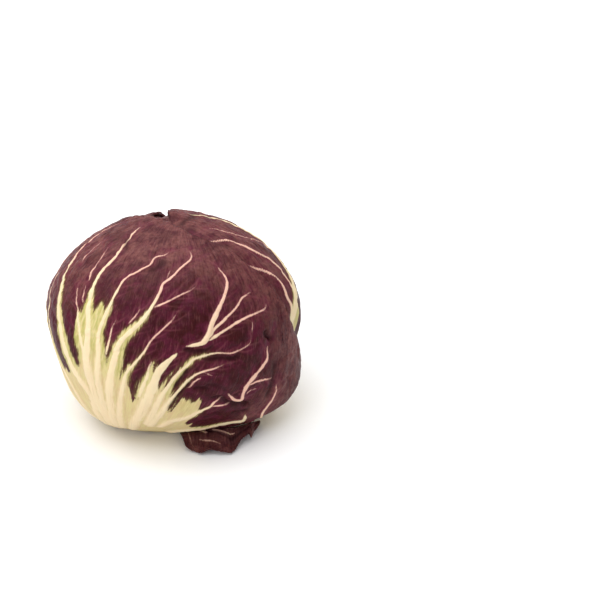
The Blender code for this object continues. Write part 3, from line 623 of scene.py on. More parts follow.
def wander(at, spacing, seed):
    """A smooth line that wanders between -1 and 1, with one seeded value every `spacing`."""
    values = np.random.default_rng(seed).uniform(-1.0, 1.0, WANDER_VALUES)
    steps = np.asarray(at, float) / spacing + WANDER_VALUES / 4
    low = np.floor(steps).astype(int)
    share = smoothstep(steps - low)
    return values[low] * (1.0 - share) + values[low + 1] * share


def lumps(points, spacing, seed):
    """Soft seeded lumps between -1 and 1 over points in millimetres, `spacing` apart."""
    values = np.random.default_rng(seed).uniform(-1.0, 1.0, (LUMP_GRID, LUMP_GRID, LUMP_GRID))
    steps = points / spacing + 8.0 * LUMP_GRID
    low = np.floor(steps).astype(int)
    share = smoothstep(steps - low)
    total = np.zeros(points.shape[:-1])
    for corner in np.ndindex(2, 2, 2):
        index = (low + np.array(corner)) % LUMP_GRID
        weight = np.prod(np.where(np.array(corner) == 1, share, 1.0 - share), axis=-1)
        total += weight * values[index[..., 0], index[..., 1], index[..., 2]]
    return total


def turn(vectors, turns):
    """Vectors turned about each turn's direction by its length in radians."""
    angle = np.linalg.norm(turns, axis=-1, keepdims=True)
    axis = turns / np.maximum(angle, 1e-12)
    along = (axis * vectors).sum(axis=-1, keepdims=True)
    sideways = np.cross(axis, vectors)
    return vectors * np.cos(angle) + sideways * np.sin(angle) + axis * along * (1.0 - np.cos(angle))


def turn_between(start, end):
    """The turn that takes one direction to another."""
    start = unit(start)
    end = unit(end)
    axis = np.cross(start, end)
    angle = math.atan2(np.linalg.norm(axis), float(start @ end))
    return unit(axis) * angle


def bend(polar, crown):
    """How the line from stem to crown leans at a polar angle: straight near the stem."""
    rise = (1.0 - np.cos(np.radians(polar))) / 2.0
    straight = (1.0 - math.cos(math.radians(STRAIGHT_POLAR))) / 2.0
    share = np.clip((rise - straight) / (1.0 - straight), 0.0, 1.0)[..., None]
    at_stem = turn_between((0.0, 0.0, -1.0), STEM_AXIS)
    at_crown = turn_between((0.0, 0.0, 1.0), crown)
    return at_stem * (1.0 - share) + at_crown * share


def direction(polar, azimuth, crown=CROWN_AXIS):
    """The direction from the head's centre to a place given by polar angle and azimuth."""
    polar, azimuth = np.broadcast_arrays(polar, azimuth)
    p = np.radians(polar)
    a = np.radians(azimuth)
    upright = np.stack([np.sin(p) * np.sin(a), -np.sin(p) * np.cos(a), -np.cos(p)], axis=-1)
    return turn(upright, bend(polar, crown))


def place_of(directions, crown, middle):
    """Polar angle and azimuth of directions, with the azimuth within half a turn of middle."""
    polar = np.degrees(np.arccos(np.clip(directions @ unit(STEM_AXIS), -1.0, 1.0)))
    for _ in range(PLACE_STEPS):
        upright = turn(directions, -bend(polar, crown))
        polar = np.degrees(np.arccos(np.clip(-upright[..., 2], -1.0, 1.0)))
    azimuth = np.degrees(np.arctan2(upright[..., 0], -upright[..., 1]))
    return polar, (azimuth - middle + 180.0) % 360.0 - 180.0 + middle


def outline_radius(directions, depth):
    """Distance from the centre to the head's outline, or to a sheet `depth` inside it."""
    half_height = np.where(directions[..., 2] > 0.0, HALF_ABOVE, HALF_BELOW)
    halves = np.stack([np.full_like(half_height, HALF_WIDTH),
                       np.full_like(half_height, HALF_FRONT_TO_BACK), half_height], axis=-1)
    radius = 1.0 / np.linalg.norm(directions / halves, axis=-1)
    for way, height, width in SWELLINGS:
        apart = np.degrees(np.arccos(np.clip(directions @ unit(way), -1.0, 1.0)))
        radius = radius + height * np.exp(-((apart / width) ** 2))
    radius = radius - depth
    down = np.maximum(-directions[..., 2], DOWNWARD)
    floor = (CENTRE_HEIGHT - depth) / down
    share = np.clip(0.5 + 0.5 * (floor - radius) / FLAT_ROUNDING, 0.0, 1.0)
    rounding = FLAT_ROUNDING * share * (1.0 - share)
    pressed = floor * (1.0 - share) + radius * share - rounding
    return np.where(directions[..., 2] < -DOWNWARD, pressed, radius)


def points_at(directions, depth):
    """Points of a sheet `depth` inside the head's outline."""
    radius = outline_radius(directions, depth)[..., None]
    return directions * radius + np.array([0.0, 0.0, CENTRE_HEIGHT])


def stem_angle(directions):
    """Angle from the stem's axis, whichever leaf the direction belongs to."""
    return np.degrees(np.arccos(np.clip(directions @ unit(STEM_AXIS), -1.0, 1.0)))


def thickness(directions):
    """How thick a leaf is there: fleshy by the stem and thin over the crown."""
    return rounded(THICKNESS, stem_angle(directions), 6.0)


def margin_distance(leaf, directions):
    """Millimetres from the leaf's margin, positive on the leaf."""
    polar, azimuth = place_of(directions, leaf.crown, leaf.middle)
    across = DEGREE * np.sin(np.radians(polar))
    to_tip = (rounded(leaf.tip, azimuth) - polar) * DEGREE
    to_left = (azimuth - rounded(leaf.left, polar)) * across
    to_right = (rounded(leaf.right, polar) - azimuth) * across
    return np.minimum(to_tip, np.minimum(to_left, to_right))


def cover(leaf, directions, clear=COVER_CLEAR, blend=COVER_BLEND):
    """1 where the leaf lies over the head and just beyond its margin, falling softly to 0."""
    beyond = -margin_distance(leaf, directions) - clear
    return 1.0 - smoothstep(beyond / blend)


def sheet_depth(leaves_over, directions, clear=COVER_CLEAR, blend=COVER_BLEND):
    """Depth at which the next leaf's outer face lies under these leaves."""
    pitch = thickness(directions) + LEAF_GAP
    covers = [cover(leaf, directions, clear, blend) for leaf in leaves_over]
    return pitch * np.sum(covers, axis=0) if covers else np.zeros_like(pitch)


def clear_of_floor(directions):
    """0 on the pressed flat patch, rising to 1 a few millimetres above the floor."""
    height = points_at(directions, np.zeros(directions.shape[:-1]))[..., 2]
    return smoothstep((height - FLOOR_CLEAR) / FLOOR_BLEND)


def lift_of(leaf, directions):
    """How far the leaf's own swellings push it outwards."""
    lift = np.zeros(directions.shape[:-1])
    for polar, azimuth, height, width in leaf.lifts:
        middle = direction(polar, azimuth, leaf.crown)
        apart = MEAN_RADIUS * np.arccos(np.clip(directions @ middle, -1.0, 1.0))
        lift = lift + height * np.exp(-((apart / width) ** 2))
    return lift


def smooth_route(route, steps=ROUTE_STEPS):
    """A listed route as a smooth line through all its points."""
    points = np.array(route, float)
    before = np.concatenate([[2.0 * points[0] - points[1]], points[:-1]])
    after = np.concatenate([points[1:], [2.0 * points[-1] - points[-2]]])
    slopes = (after - before) / 2.0
    share = np.arange(steps)[:, None] / steps
    line = []
    for start, end, leave, arrive in zip(points, points[1:], slopes, slopes[1:]):
        from_start = (2 * share**3 - 3 * share**2 + 1) * start + (share**3 - 2 * share**2 + share) * leave
        to_end = (3 * share**2 - 2 * share**3) * end + (share**3 - share**2) * arrive
        line.append(from_start + to_end)
    return np.concatenate([*line, points[-1:]])


def route_points(route, crown):
    """A route's line as points on a ball of the head's mean radius."""
    line = smooth_route(route)
    return direction(line[:, 0], line[:, 1], crown) * MEAN_RADIUS


def near_line(points, line, reach):
    """Which points lie within reach of a line, how far they are, and how far along it, 0 to 1."""
    low = line.min(axis=0) - reach
    high = line.max(axis=0) + reach
    close = np.flatnonzero(((points > low) & (points < high)).all(axis=1))
    spans = line[1:] - line[:-1]
    lengths = np.linalg.norm(spans, axis=1)
    away = points[close, None, :] - line[None, :-1, :]
    share = np.clip((away * spans).sum(axis=2) / np.maximum(lengths**2, 1e-9), 0.0, 1.0)
    apart = np.linalg.norm(away - share[..., None] * spans, axis=2)
    best = np.argmin(apart, axis=1)
    rows = np.arange(len(close))
    gone = np.concatenate([[0.0], np.cumsum(lengths)])
    travel = (gone[best] + share[rows, best] * lengths[best]) / gone[-1]
    return close, apart[rows, best], travel


def side_veins(leaf):
    """Faint side veins that leave each main vein at a slant, as lines of points."""
    random = np.random.default_rng(leaf.seed)
    lines = []
    for vein in leaf.veins:
        line = route_points(vein.route, leaf.crown)
        gone = np.concatenate([[0.0], np.cumsum(np.linalg.norm(np.diff(line, axis=0), axis=1))])
        start = LONG_VEIN_BARE * gone[-1] if gone[-1] > LONG_VEIN else SHORT_VEIN_BARE
        side = 1.0
        for at in np.arange(start, gone[-1] - 1.0, SIDE_VEIN_SPACING / 2.0):
            at = at + random.uniform(-SIDE_VEIN_SHIFT, SIDE_VEIN_SHIFT)
            slant = side * math.radians(random.uniform(*SIDE_VEIN_SLANT))
            length = random.uniform(*SIDE_VEIN_LENGTH)
            curl = -side * random.uniform(*SIDE_VEIN_CURL)
            side = -side
            if not vein.sides:
                continue
            here = np.array([np.interp(at, gone, axis) for axis in line.T])
            ahead = np.array([np.interp(at + LOOK_AHEAD, gone, axis) for axis in line.T])
            way = unit(ahead - here + 1e-9)
            steps = [here]
            for _ in range(int(length / SIDE_VEIN_STEP)):
                up = unit(here)
                across = np.cross(up, way)
                heading = unit(way * math.cos(slant) + across * math.sin(slant))
                here = unit(here + heading * SIDE_VEIN_STEP) * MEAN_RADIUS
                slant = slant + curl * SIDE_VEIN_STEP + random.uniform(-SIDE_VEIN_TURN, SIDE_VEIN_TURN)
                steps.append(here)
            lines.append(np.array(steps))
    return lines


def vein_marks(leaf, directions, polar):
    """The veins' paint, pinkness, pale flanks, crest and height, and the nearness of any vein."""
    places = directions.reshape(-1, 3) * MEAN_RADIUS
    count = len(places)
    marks = {name: np.zeros(count) for name in ("vein", "pink", "flank", "crest", "rise", "side")}
    marks["flank"] -= PALE_REACH
    nearest = np.full(count, NEAR_VEIN)
    for number, vein in enumerate(leaf.veins):
        free_start = vein.route[0][0] > BASE_UNTIL
        line = route_points(vein.route, leaf.crown)
        length = np.linalg.norm(np.diff(line, axis=0), axis=1).sum()
        close, apart, travel = near_line(places, line, NEAR_VEIN + 1.0)
        width = np.interp(travel, np.linspace(0.0, 1.0, len(vein.widths)), vein.widths)
        wobble = wander(travel * length, VEIN_WOBBLE_SPACING, leaf.seed + number)
        width = width * (1.0 + VEIN_WOBBLE * wobble)
        left_to_go = (1.0 - travel) * length
        width = width * (VEIN_END + (1.0 - VEIN_END) * smoothstep(left_to_go / VEIN_TAPER))
        if free_start:
            width = width * (VEIN_END + (1.0 - VEIN_END) * smoothstep(2.0 * travel * length / VEIN_TAPER))
        high = smoothstep((polar.ravel()[close] - HIGH_VEIN_POLAR) / HIGH_VEIN_BLEND)
        width = width * (1.0 - HIGH_VEIN_THINNING * high)
        fade = smoothstep(left_to_go / VEIN_FADE + 0.1)
        if free_start:
            fade = fade * smoothstep(travel * length / 2.0 + 0.2)
        painted = np.maximum(width, PAINT_SOFTNESS)
        strength = np.minimum(width / PAINT_SOFTNESS, 1.0) ** 0.5 * fade
        paint = np.clip((0.5 * painted - apart) / PAINT_SOFTNESS + 0.5, 0.0, 1.0) * strength
        stronger = paint > marks["vein"][close]
        pink = np.interp(travel, (0.0, 1.0), vein.pink)
        marks["pink"][close] = np.where(stronger, pink, marks["pink"][close])
        marks["vein"][close] = np.maximum(marks["vein"][close], paint)
        halo = vein.halo * np.interp(travel, *zip(*HALO_SHAPE))
        flank = np.where(vein.halo > 0.0, 0.5 * width + halo - apart, -PALE_REACH)
        marks["flank"][close] = np.maximum(marks["flank"][close], flank)
        crest = np.exp(-((apart / (0.5 * width + 0.6)) ** 2))
        marks["crest"][close] = np.maximum(marks["crest"][close], crest)
        foot = 0.55 * width + 0.45
        height = vein.rise * np.minimum(width / max(vein.widths), 1.0) ** 0.6 * fade
        marks["rise"][close] = np.maximum(marks["rise"][close], height * np.exp(-((apart / foot) ** 2)))
        nearest[close] = np.minimum(nearest[close], np.maximum(apart - 0.4 * width, 0.0))
    for line in side_veins(leaf):
        close, apart, travel = near_line(places, line, NEAR_VEIN)
        paint = np.clip(1.0 - apart / (1.6 * SIDE_VEIN_WIDTH), 0.0, 1.0) * (1.0 - travel) ** 0.7
        marks["side"][close] = np.maximum(marks["side"][close], paint)
        nearest[close] = np.minimum(nearest[close], apart + 1.6 * travel)
    shape = directions.shape[:-1]
    marks = {name: values.reshape(shape) for name, values in marks.items()}
    marks["nearest"] = nearest.reshape(shape)
    return marks


def pale_depth(leaf, directions, polar, azimuth, flank):
    """Millimetres inside the pale tissue, below 0 outside it and in the red wedges between ribs.
    Also how far a place lies beyond the fleshy base."""
    limit = np.interp(azimuth, *zip(*leaf.pale))
    for (amount, spacing), seed in zip(PALE_FRAY, (7, 12)):
        limit = limit + amount * wander(azimuth, spacing, leaf.seed + seed)
    base = (limit - polar) * DEGREE
    depth = np.maximum(base, flank).ravel()
    places = directions.reshape(-1, 3) * MEAN_RADIUS
    for number, (route, widths) in enumerate(leaf.wedges):
        line = route_points(route, leaf.crown)
        close, apart, travel = near_line(places, line, PALE_REACH)
        width = np.interp(travel, (0.0, 0.5, 1.0), widths)
        width = width * (1.0 + WEDGE_WOBBLE * wander(travel * 30.0, 1.5, leaf.seed + 60 + number))
        ahead = smoothstep(travel / 0.02)
        depth[close] = np.minimum(depth[close], apart - 0.5 * width * ahead)
    return depth.reshape(polar.shape), base


def crease_sink(leaf, directions):
    """How far creases sink the leaf's face, and how much shade is painted into their bottoms."""
    places = directions.reshape(-1, 3) * MEAN_RADIUS
    sink = np.zeros(len(places))
    dark = np.zeros(len(places))
    for crease in leaf.creases:
        line = route_points(crease.route, leaf.crown)
        close, apart, travel = near_line(places, line, 4.0 * crease.width)
        ends = smoothstep(travel / 0.2) * smoothstep((1.0 - travel) / 0.2)
        shape = np.exp(-((apart / crease.width) ** 2)) * ends
        sink[close] += crease.sink * shape
        # Painted shade along the bottom of each sinking crease
        dark[close] = np.maximum(dark[close], np.clip(1.5 * crease.sink, 0.0, 1.0) * shape)
    return sink.reshape(directions.shape[:-1]), dark.reshape(directions.shape[:-1])


def row_shares(top, cell):
    """Shares of the way from base to tip at each row: long steps at the base, then one cell each."""
    base = np.arange(LEAF_BASE_POLAR, BASE_UNTIL, BASE_CELL / DEGREE)
    count = INNER_STEP * math.ceil((top - BASE_UNTIL) * DEGREE / cell / INNER_STEP)
    upper = np.linspace(BASE_UNTIL, top, count + 1)
    base = np.linspace(LEAF_BASE_POLAR, BASE_UNTIL, INNER_STEP * math.ceil(len(base) / INNER_STEP) + 1)
    polars = np.concatenate([base[:-1], upper])
    return (polars - polars[0]) / (polars[-1] - polars[0])


def leaf_grid(leaf, ragged):
    """Polar angle and azimuth of each fine mesh vertex, as rows from the base to the margin."""
    left = rounded(leaf.left, POLARS)
    right = rounded(leaf.right, POLARS)
    across = (right - left) * np.sin(np.radians(POLARS)) * DEGREE
    count = INNER_STEP * math.ceil(across.max() / leaf.cell / INNER_STEP)
    along = POLARS * DEGREE
    teeth = 1.0 + wander(along, 2.6, leaf.seed) + 0.6 * wander(along, 0.9, leaf.seed + 1)
    thin = np.maximum(np.sin(np.radians(POLARS)), 0.2) * DEGREE
    showing = smoothstep((POLARS - 40.0) / 20.0)
    left = left + ragged * showing * teeth / thin
    right = right - ragged * showing * teeth[::-1] / thin
    shares = row_shares(max(value for _, value in leaf.tip), leaf.cell)
    polars = []
    azimuths = []
    for share in np.linspace(0.0, 1.0, count + 1):
        column = left + (right - left) * share
        left_to_go = rounded(leaf.tip, column) - POLARS
        last = int(np.argmax(left_to_go < 0.0))
        top = np.interp(0.0, -left_to_go[last - 1:last + 1], POLARS[last - 1:last + 1])
        at = np.interp(top, POLARS, column) * DEGREE * 0.6
        notch = 1.0 + 0.8 * wander(at, 3.1, leaf.seed + 2) + 0.5 * wander(at, 1.0, leaf.seed + 3)
        polar = LEAF_BASE_POLAR + (top - ragged * notch / DEGREE - LEAF_BASE_POLAR) * shares
        polars.append(polar)
        azimuths.append(np.interp(polar, POLARS, column))
    return np.array(polars).T, np.array(azimuths).T


def patch_over(patch, polar, azimuth):
    """How strong a soft oval is at each place of its leaf."""
    along = (polar - patch.polar) * DEGREE / patch.along
    across = (azimuth - patch.azimuth) * DEGREE * np.sin(np.radians(polar)) / patch.across
    return patch.amount * np.exp(-(along**2 + across**2))


def pink_edge(vein):
    """How much pinker a vein is where its paint thins out."""
    return 0.2 * smoothstep((1.0 - vein) / 0.6)


def leaf_form(leaf, leaves_over, sizes):
    """Outer and inner points of a fine leaf, and the marks that its material reads."""
    polar, azimuth = leaf_grid(leaf, sizes.raggedness / MM)
    ways = direction(polar, azimuth, leaf.crown)
    places = ways * MEAN_RADIUS
    marks = vein_marks(leaf, ways, polar)
    sink, dark = crease_sink(leaf, ways)
    bare = 1.0 - np.max([cover(other, ways) for other in leaves_over] or [np.zeros_like(polar)], axis=0)
    free = bare * clear_of_floor(ways)
    to_margin = np.maximum(margin_distance(leaf, ways), 0.0)
    flutter = MARGIN_FLUTTER * (1.0 + np.sin(np.radians(FLUTTER_WAVES * azimuth))) / 2.0
    lift = lift_of(leaf, ways) + flutter * np.exp(-to_margin / FLUTTER_BAND)
    thin = smoothstep((polar - FLESHY_UNTIL) / FLESHY_BLEND)
    puffed = smoothstep(marks["nearest"] / NEAR_VEIN) * thin
    fine = sum(height * lumps(places, spacing, leaf.seed + seed) for height, spacing, seed in PUFF_LUMPS)
    quilt = sizes.quilting / MM * (puffed + fine * thin)
    broad, small = (height * lumps(places, spacing, leaf.seed + seed)
                    for height, spacing, seed in (BROAD_WAVE, SMALL_WAVE))
    bending = [lumps(places, FOLD_BEND_SPACING, leaf.seed + seed) for seed in (20, 21, 22)]
    bent = places + FOLD_BENDING * np.stack(bending, axis=-1)
    folds = 0.0
    for spacing, height, steepness, seed in FOLDS:
        valleys = np.abs(lumps(bent, spacing, leaf.seed + seed)) * steepness
        folds = folds + np.minimum(valleys, height) - 0.5 * height
    waves = broad + (small + sizes.crumple / MM * folds) * thin
    veins = sizes.vein_height * marks["rise"] + SIDE_VEIN_HEIGHT * marks["side"] * thin
    relief = veins + quilt + waves - sink
    thinning = MARGIN_THINNING * (1.0 - smoothstep(to_margin / MARGIN_BAND))
    thinning = np.where(stem_angle(ways) > 60.0, thinning, 0.0)
    level = sheet_depth(leaves_over, ways) - free * lift
    outer = points_at(ways, level + thinning - free * relief)
    inner = points_at(ways, level + thickness(ways) + free * 0.5 * sink)
    patches = [patch_over(patch, polar, azimuth) for patch in leaf.greens]
    flank = np.maximum(marks["flank"], (np.max(patches, axis=0) - 0.5) * 2.0 * PALE_REACH)
    pale, base = pale_depth(leaf, ways, polar, azimuth, flank)
    green = np.maximum(smoothstep(0.5 - base / GREEN_ABOVE_BASE), np.max(patches, axis=0))
    # Browner and paler towards the crown: partly ageing, partly painted light from above, with painted
    # sheen and shade from the patches
    age = smoothstep((polar - AGED_AND_LIT_FROM) / AGED_AND_LIT_BLEND)
    age = age + sum(patch_over(patch, polar, azimuth) for patch in leaf.age_and_light_patches)
    vein = marks["vein"] * (1.0 - 0.8 * smoothstep(base / VEIN_FADES_IN_BASE))
    pink = marks["pink"] * (1.0 - 0.85 * smoothstep(pale / 2.0 + 0.7))
    dry = np.exp(-to_margin / MARGIN_DRY) * smoothstep((polar - 50.0) / 20.0)
    colours = {
        "vein": vein,
        "pink": pink + pink_edge(vein),
        "side": marks["side"],
        "glow": np.exp(-marks["nearest"] / GLOW_WIDTH),
        "crest": marks["crest"],
        "pale": np.clip(pale / PALE_REACH + 0.5, 0.0, 1.0),
        "green": green - CREST_AGAINST_GREEN * marks["crest"],
        # Shade painted into the bottoms of creases
        "crease": CREASE_PAINTED_SHADE * dark,
        "age": np.clip(age, 0.0, 1.0),
        "dry": DRY_DARKNESS * dry,
    }
    streaks = np.stack([azimuth * DEGREE, polar * DEGREE, np.full_like(polar, leaf.seed)], axis=-1)
    return outer, inner, colours, streaks


def grid_quads(index):
    """Quads of a grid of vertex numbers."""
    corners = [index[:-1, :-1], index[:-1, 1:], index[1:, 1:], index[1:, :-1]]
    return np.stack([corner.ravel() for corner in corners], axis=1)


def rim_of(index):
    """The vertex numbers round a grid, in order."""
    return np.concatenate([index[0, :-1], index[:-1, -1], index[-1, :0:-1], index[:0:-1, 0]])


def sheet_faces(rows, columns):
    """Faces of a fine outer grid and a coarser inner one, closed round their rim.
    Also the numbers of the fine grid's vertices that the inner one uses."""
    fine = np.arange(rows * columns).reshape(rows, columns)
    used = fine[::INNER_STEP, ::INNER_STEP]
    coarse = np.arange(used.size).reshape(used.shape) + fine.size
    outer_rim = rim_of(fine)
    inner_rim = rim_of(coarse)
    faces = [grid_quads(fine).tolist(), grid_quads(coarse)[:, ::-1].tolist()]
    after = np.roll(outer_rim, -1)
    count = len(outer_rim)
    skirt = []
    for step in range(count):
        cell = step // INNER_STEP
        half = step % INNER_STEP >= INNER_STEP // 2
        owner = inner_rim[(cell + half) % len(inner_rim)]
        skirt.append([int(after[step]), int(outer_rim[step]), int(owner)])
        if step % INNER_STEP == INNER_STEP // 2:
            onward = inner_rim[(cell + 1) % len(inner_rim)]
            skirt.append([int(outer_rim[step]), int(inner_rim[cell]), int(onward)])
    return faces[0] + faces[1] + skirt, used.ravel()


def add_piece(name, points, faces, surface, node, values=None, streaks=None):
    """One smooth-shaded piece from points in millimetres, with its marks as vertex attributes."""
    mesh = bpy.data.meshes.new(name)
    mesh.from_pydata((np.asarray(points) * MM).tolist(), [], faces)
    mesh.materials.append(surface)
    mesh.shade_smooth()
    for key, numbers in (values or {}).items():
        made = mesh.attributes.new(key, "FLOAT", "POINT")
        made.data.foreach_set("value", np.asarray(numbers, np.float32).ravel())
    if streaks is not None:
        made = mesh.attributes.new("streaks", "FLOAT_VECTOR", "POINT")
        made.data.foreach_set("vector", np.asarray(streaks, np.float32).ravel())
    piece = bpy.data.objects.new(name, mesh)
    bpy.context.scene.collection.objects.link(piece)
    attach(piece, BODY)
    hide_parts(node)
    return piece


def linear(code):
    """A colour given as an sRGB hex code, as linear red, green and blue."""
    channels = [int(code[at:at + 2], 16) / 255.0 for at in (0, 2, 4)]
    return tuple(c / 12.92 if c <= 0.04045 else ((c + 0.055) / 1.055) ** 2.4 for c in channels)


def per_mm(size):
    """A noise scale, in metres, whose lumps are about `size` millimetres apart."""
    return 1.0 / (size * MM)


def add_node(tree, kind, inputs=(), **settings):
    """Adds a node with its own settings, and with a value or a link for each input named."""
    made = tree.nodes.new(kind)
    for key, value in settings.items():
        setattr(made, key, value)
    for key, value in dict(inputs).items():
        if isinstance(value, bpy.types.NodeSocket):
            tree.links.new(value, made.inputs[key])
        elif isinstance(value, (tuple, list)) and len(value) == 3 and made.inputs[key].type == "RGBA":
            made.inputs[key].default_value = (*value, 1.0)
        else:
            made.inputs[key].default_value = value
    return made


def tint(tree, under, over, mark, low, high, most=1.0, pattern=None, roughness=0.0):
    """Paints one tone over another, to `most`, as a mark rises from low to high.
    A pattern around 0.5 may make the edge of the paint rough."""
    if pattern is not None:
        mark = add_node(tree, "ShaderNodeMath", {0: pattern, 1: roughness, 2: mark},
                        operation="MULTIPLY_ADD").outputs[0]
        low = low + 0.5 * roughness
        high = high + 0.5 * roughness
    share = add_node(tree, "ShaderNodeMapRange",
                     {"Value": mark, "From Min": low, "From Max": high, "To Max": most},
                     interpolation_type="SMOOTHSTEP").outputs[0]
    return add_node(tree, "ShaderNodeMix", {0: share, 6: under, 7: over}, data_type="RGBA").outputs[2]


def leaf_skin(colours):
    """Fresh radicchio leaf: a waxy cuticle, grown and not finished in any way, over wine-red tissue.
    The wax gives a soft satin gloss, and the tissue is mottled and streaked along its veins."""
    made = bpy.data.materials.new("waxy_radicchio_leaf")
    made.use_nodes = True
    tree = made.node_tree
    surface = tree.nodes["Principled BSDF"]
    where = add_node(tree, "ShaderNodeTexCoord").outputs["Object"]
    along = add_node(tree, "ShaderNodeAttribute", attribute_name="streaks").outputs["Vector"]
    mark = {}
    for name in LEAF_MARKS:
        mark[name] = add_node(tree, "ShaderNodeAttribute", attribute_name=name).outputs["Fac"]

    # Patterns: soft mottling in every direction, and streaks that run from base to tip
    drawn_out = {}
    for name, (across, length) in (("streak", STREAK), ("fine_streak", FINE_STREAK), ("fibre", FIBRE)):
        scale = (1.0 / across, 1.0 / length, 1.0)
        drawn_out[name] = add_node(tree, "ShaderNodeVectorMath", {0: along, 1: scale},
                                   operation="MULTIPLY").outputs[0]
    pattern = {}
    for name, vector, scale, detail, roughness in (
        ("broad", where, per_mm(BROAD_MOTTLE), 2.0, 0.5),
        ("middle", where, per_mm(MIDDLE_MOTTLE), 3.0, 0.6),
        ("mottle", where, per_mm(FINE_MOTTLE), 3.0, 0.6),
        ("grain", where, per_mm(LEAF_GRAIN), 3.0, 0.6),
        ("streak", drawn_out["streak"], 1.0, 3.0, 0.6),
        ("fine_streak", drawn_out["fine_streak"], 1.0, 2.0, 0.6),
        ("fibre", drawn_out["fibre"], 1.0, 2.0, 0.5),
    ):
        settings = {"Vector": vector, "Scale": scale, "Detail": detail, "Roughness": roughness}
        pattern[name] = add_node(tree, "ShaderNodeTexNoise", settings).outputs[0]
    for name, coarse in (("frayed", "streak"), ("speckled", "mottle")):
        both = {0: 3.0 / 7.0, 2: pattern[coarse], 3: pattern["fine_streak"]}
        pattern[name] = add_node(tree, "ShaderNodeMix", both, data_type="FLOAT").outputs[0]

    # Red tissue: darker and redder low on the leaf, browner and paler towards the crown, partly with age
    # and partly as painted light from above; patches add painted sheen and shade
    wine, dark_wine, plum = tuple(colours.wine), tuple(colours.dark_wine), tuple(colours.plum)
    broad, middle, streak = pattern["broad"], pattern["middle"], pattern["streak"]
    red = tint(tree, wine, plum, middle, 0.36, 0.64)
    aged_and_lit_tone = tint(tree, tuple(colours.brown), plum, streak, 0.3, 0.75, 0.7, middle, 0.8)
    face = tint(tree, red, aged_and_lit_tone, mark["age"], 0.0, 1.0, 1.0, broad, 0.4)
    face = tint(tree, face, dark_wine, broad, 0.42, 0.64, 0.42, middle, 0.6)
    face = tint(tree, face, dark_wine, pattern["mottle"], 0.42, 0.72, 0.4)
    face = tint(tree, face, dark_wine, streak, 0.52, 0.72, 0.4)
    face = tint(tree, face, tuple(colours.magenta), mark["glow"], 0.3, 1.0, 0.42, middle, 1.2)
    face = tint(tree, face, tuple(colours.rose), pattern["fine_streak"], 0.5, 0.75, 0.17)
    face = tint(tree, face, tuple(colours.rose), mark["side"], 0.1, 0.9, 0.15)
    dried = {0: mark["dry"], 6: face, 7: dark_wine}
    face = add_node(tree, "ShaderNodeMix", dried, data_type="RGBA").outputs[2]

    # Pale tissue: cream on the ribs of the fleshy base, yellow-green on their flanks higher up, and darker
    # beige in the valleys between the ribs, partly painted shade
    green = tint(tree, tuple(colours.green), tuple(colours.straw), streak, 0.38, 0.62)
    pale = tint(tree, tuple(colours.beige), tuple(colours.straw), streak, 0.35, 0.65)
    pale = tint(tree, pale, tuple(colours.cream), mark["crest"], 0.1, 0.8, 1.0, pattern["fine_streak"], 0.9)
    pale = tint(tree, pale, tuple(colours.brown_line), pattern["fibre"], 0.55, 0.75, 0.35)
    pale = tint(tree, pale, green, mark["green"], 0.2, 0.95, 0.85, streak, 0.6)
    face = tint(tree, face, tuple(colours.olive), mark["pale"], 0.22, 0.5, 0.6, pattern["frayed"], 0.7)
    face = tint(tree, face, pale, mark["pale"], 0.41, 0.59, 1.0, pattern["frayed"], 0.7)

    # Veins, pinker towards their thin ends, and shade painted into the bottoms of folds
    vein = tint(tree, tuple(colours.vein), tuple(colours.pink), mark["pink"], 0.2, 0.9, 1.0, streak, 0.3)
    face = tint(tree, face, vein, mark["vein"], 0.22, 0.74, 1.0, pattern["speckled"], 0.7)
    crease_shade_mix = {0: mark["crease"], 6: face, 7: dark_wine}
    face = add_node(tree, "ShaderNodeMix", crease_shade_mix, data_type="RGBA").outputs[2]
    tree.links.new(face, surface.inputs["Base Color"])

    # Satin gloss, a little duller in places, over a fine grain with streaks
    duller = {"Value": pattern["mottle"], "From Min": 0.2, "From Max": 0.8, "To Min": 0.38, "To Max": 0.52}
    dullness = add_node(tree, "ShaderNodeMapRange", duller, interpolation_type="SMOOTHSTEP").outputs[0]
    tree.links.new(dullness, surface.inputs["Roughness"])
    height = pattern["grain"]
    for name, amount in (("mottle", 0.9), ("fine_streak", 0.8)):
        height = add_node(tree, "ShaderNodeMath", {0: pattern[name], 1: amount, 2: height},
                          operation="MULTIPLY_ADD").outputs[0]
    bump = add_node(tree, "ShaderNodeBump", {"Height": height, "Strength": 0.6, "Distance": 0.14 * MM})
    tree.links.new(bump.outputs[0], surface.inputs["Normal"])
    surface.inputs["IOR"].default_value = 1.43
    surface.inputs["Specular IOR Level"].default_value = 0.1
    surface.inputs["Subsurface Weight"].default_value = 0.06
    surface.inputs["Subsurface Scale"].default_value = 0.8 * MM
    return made


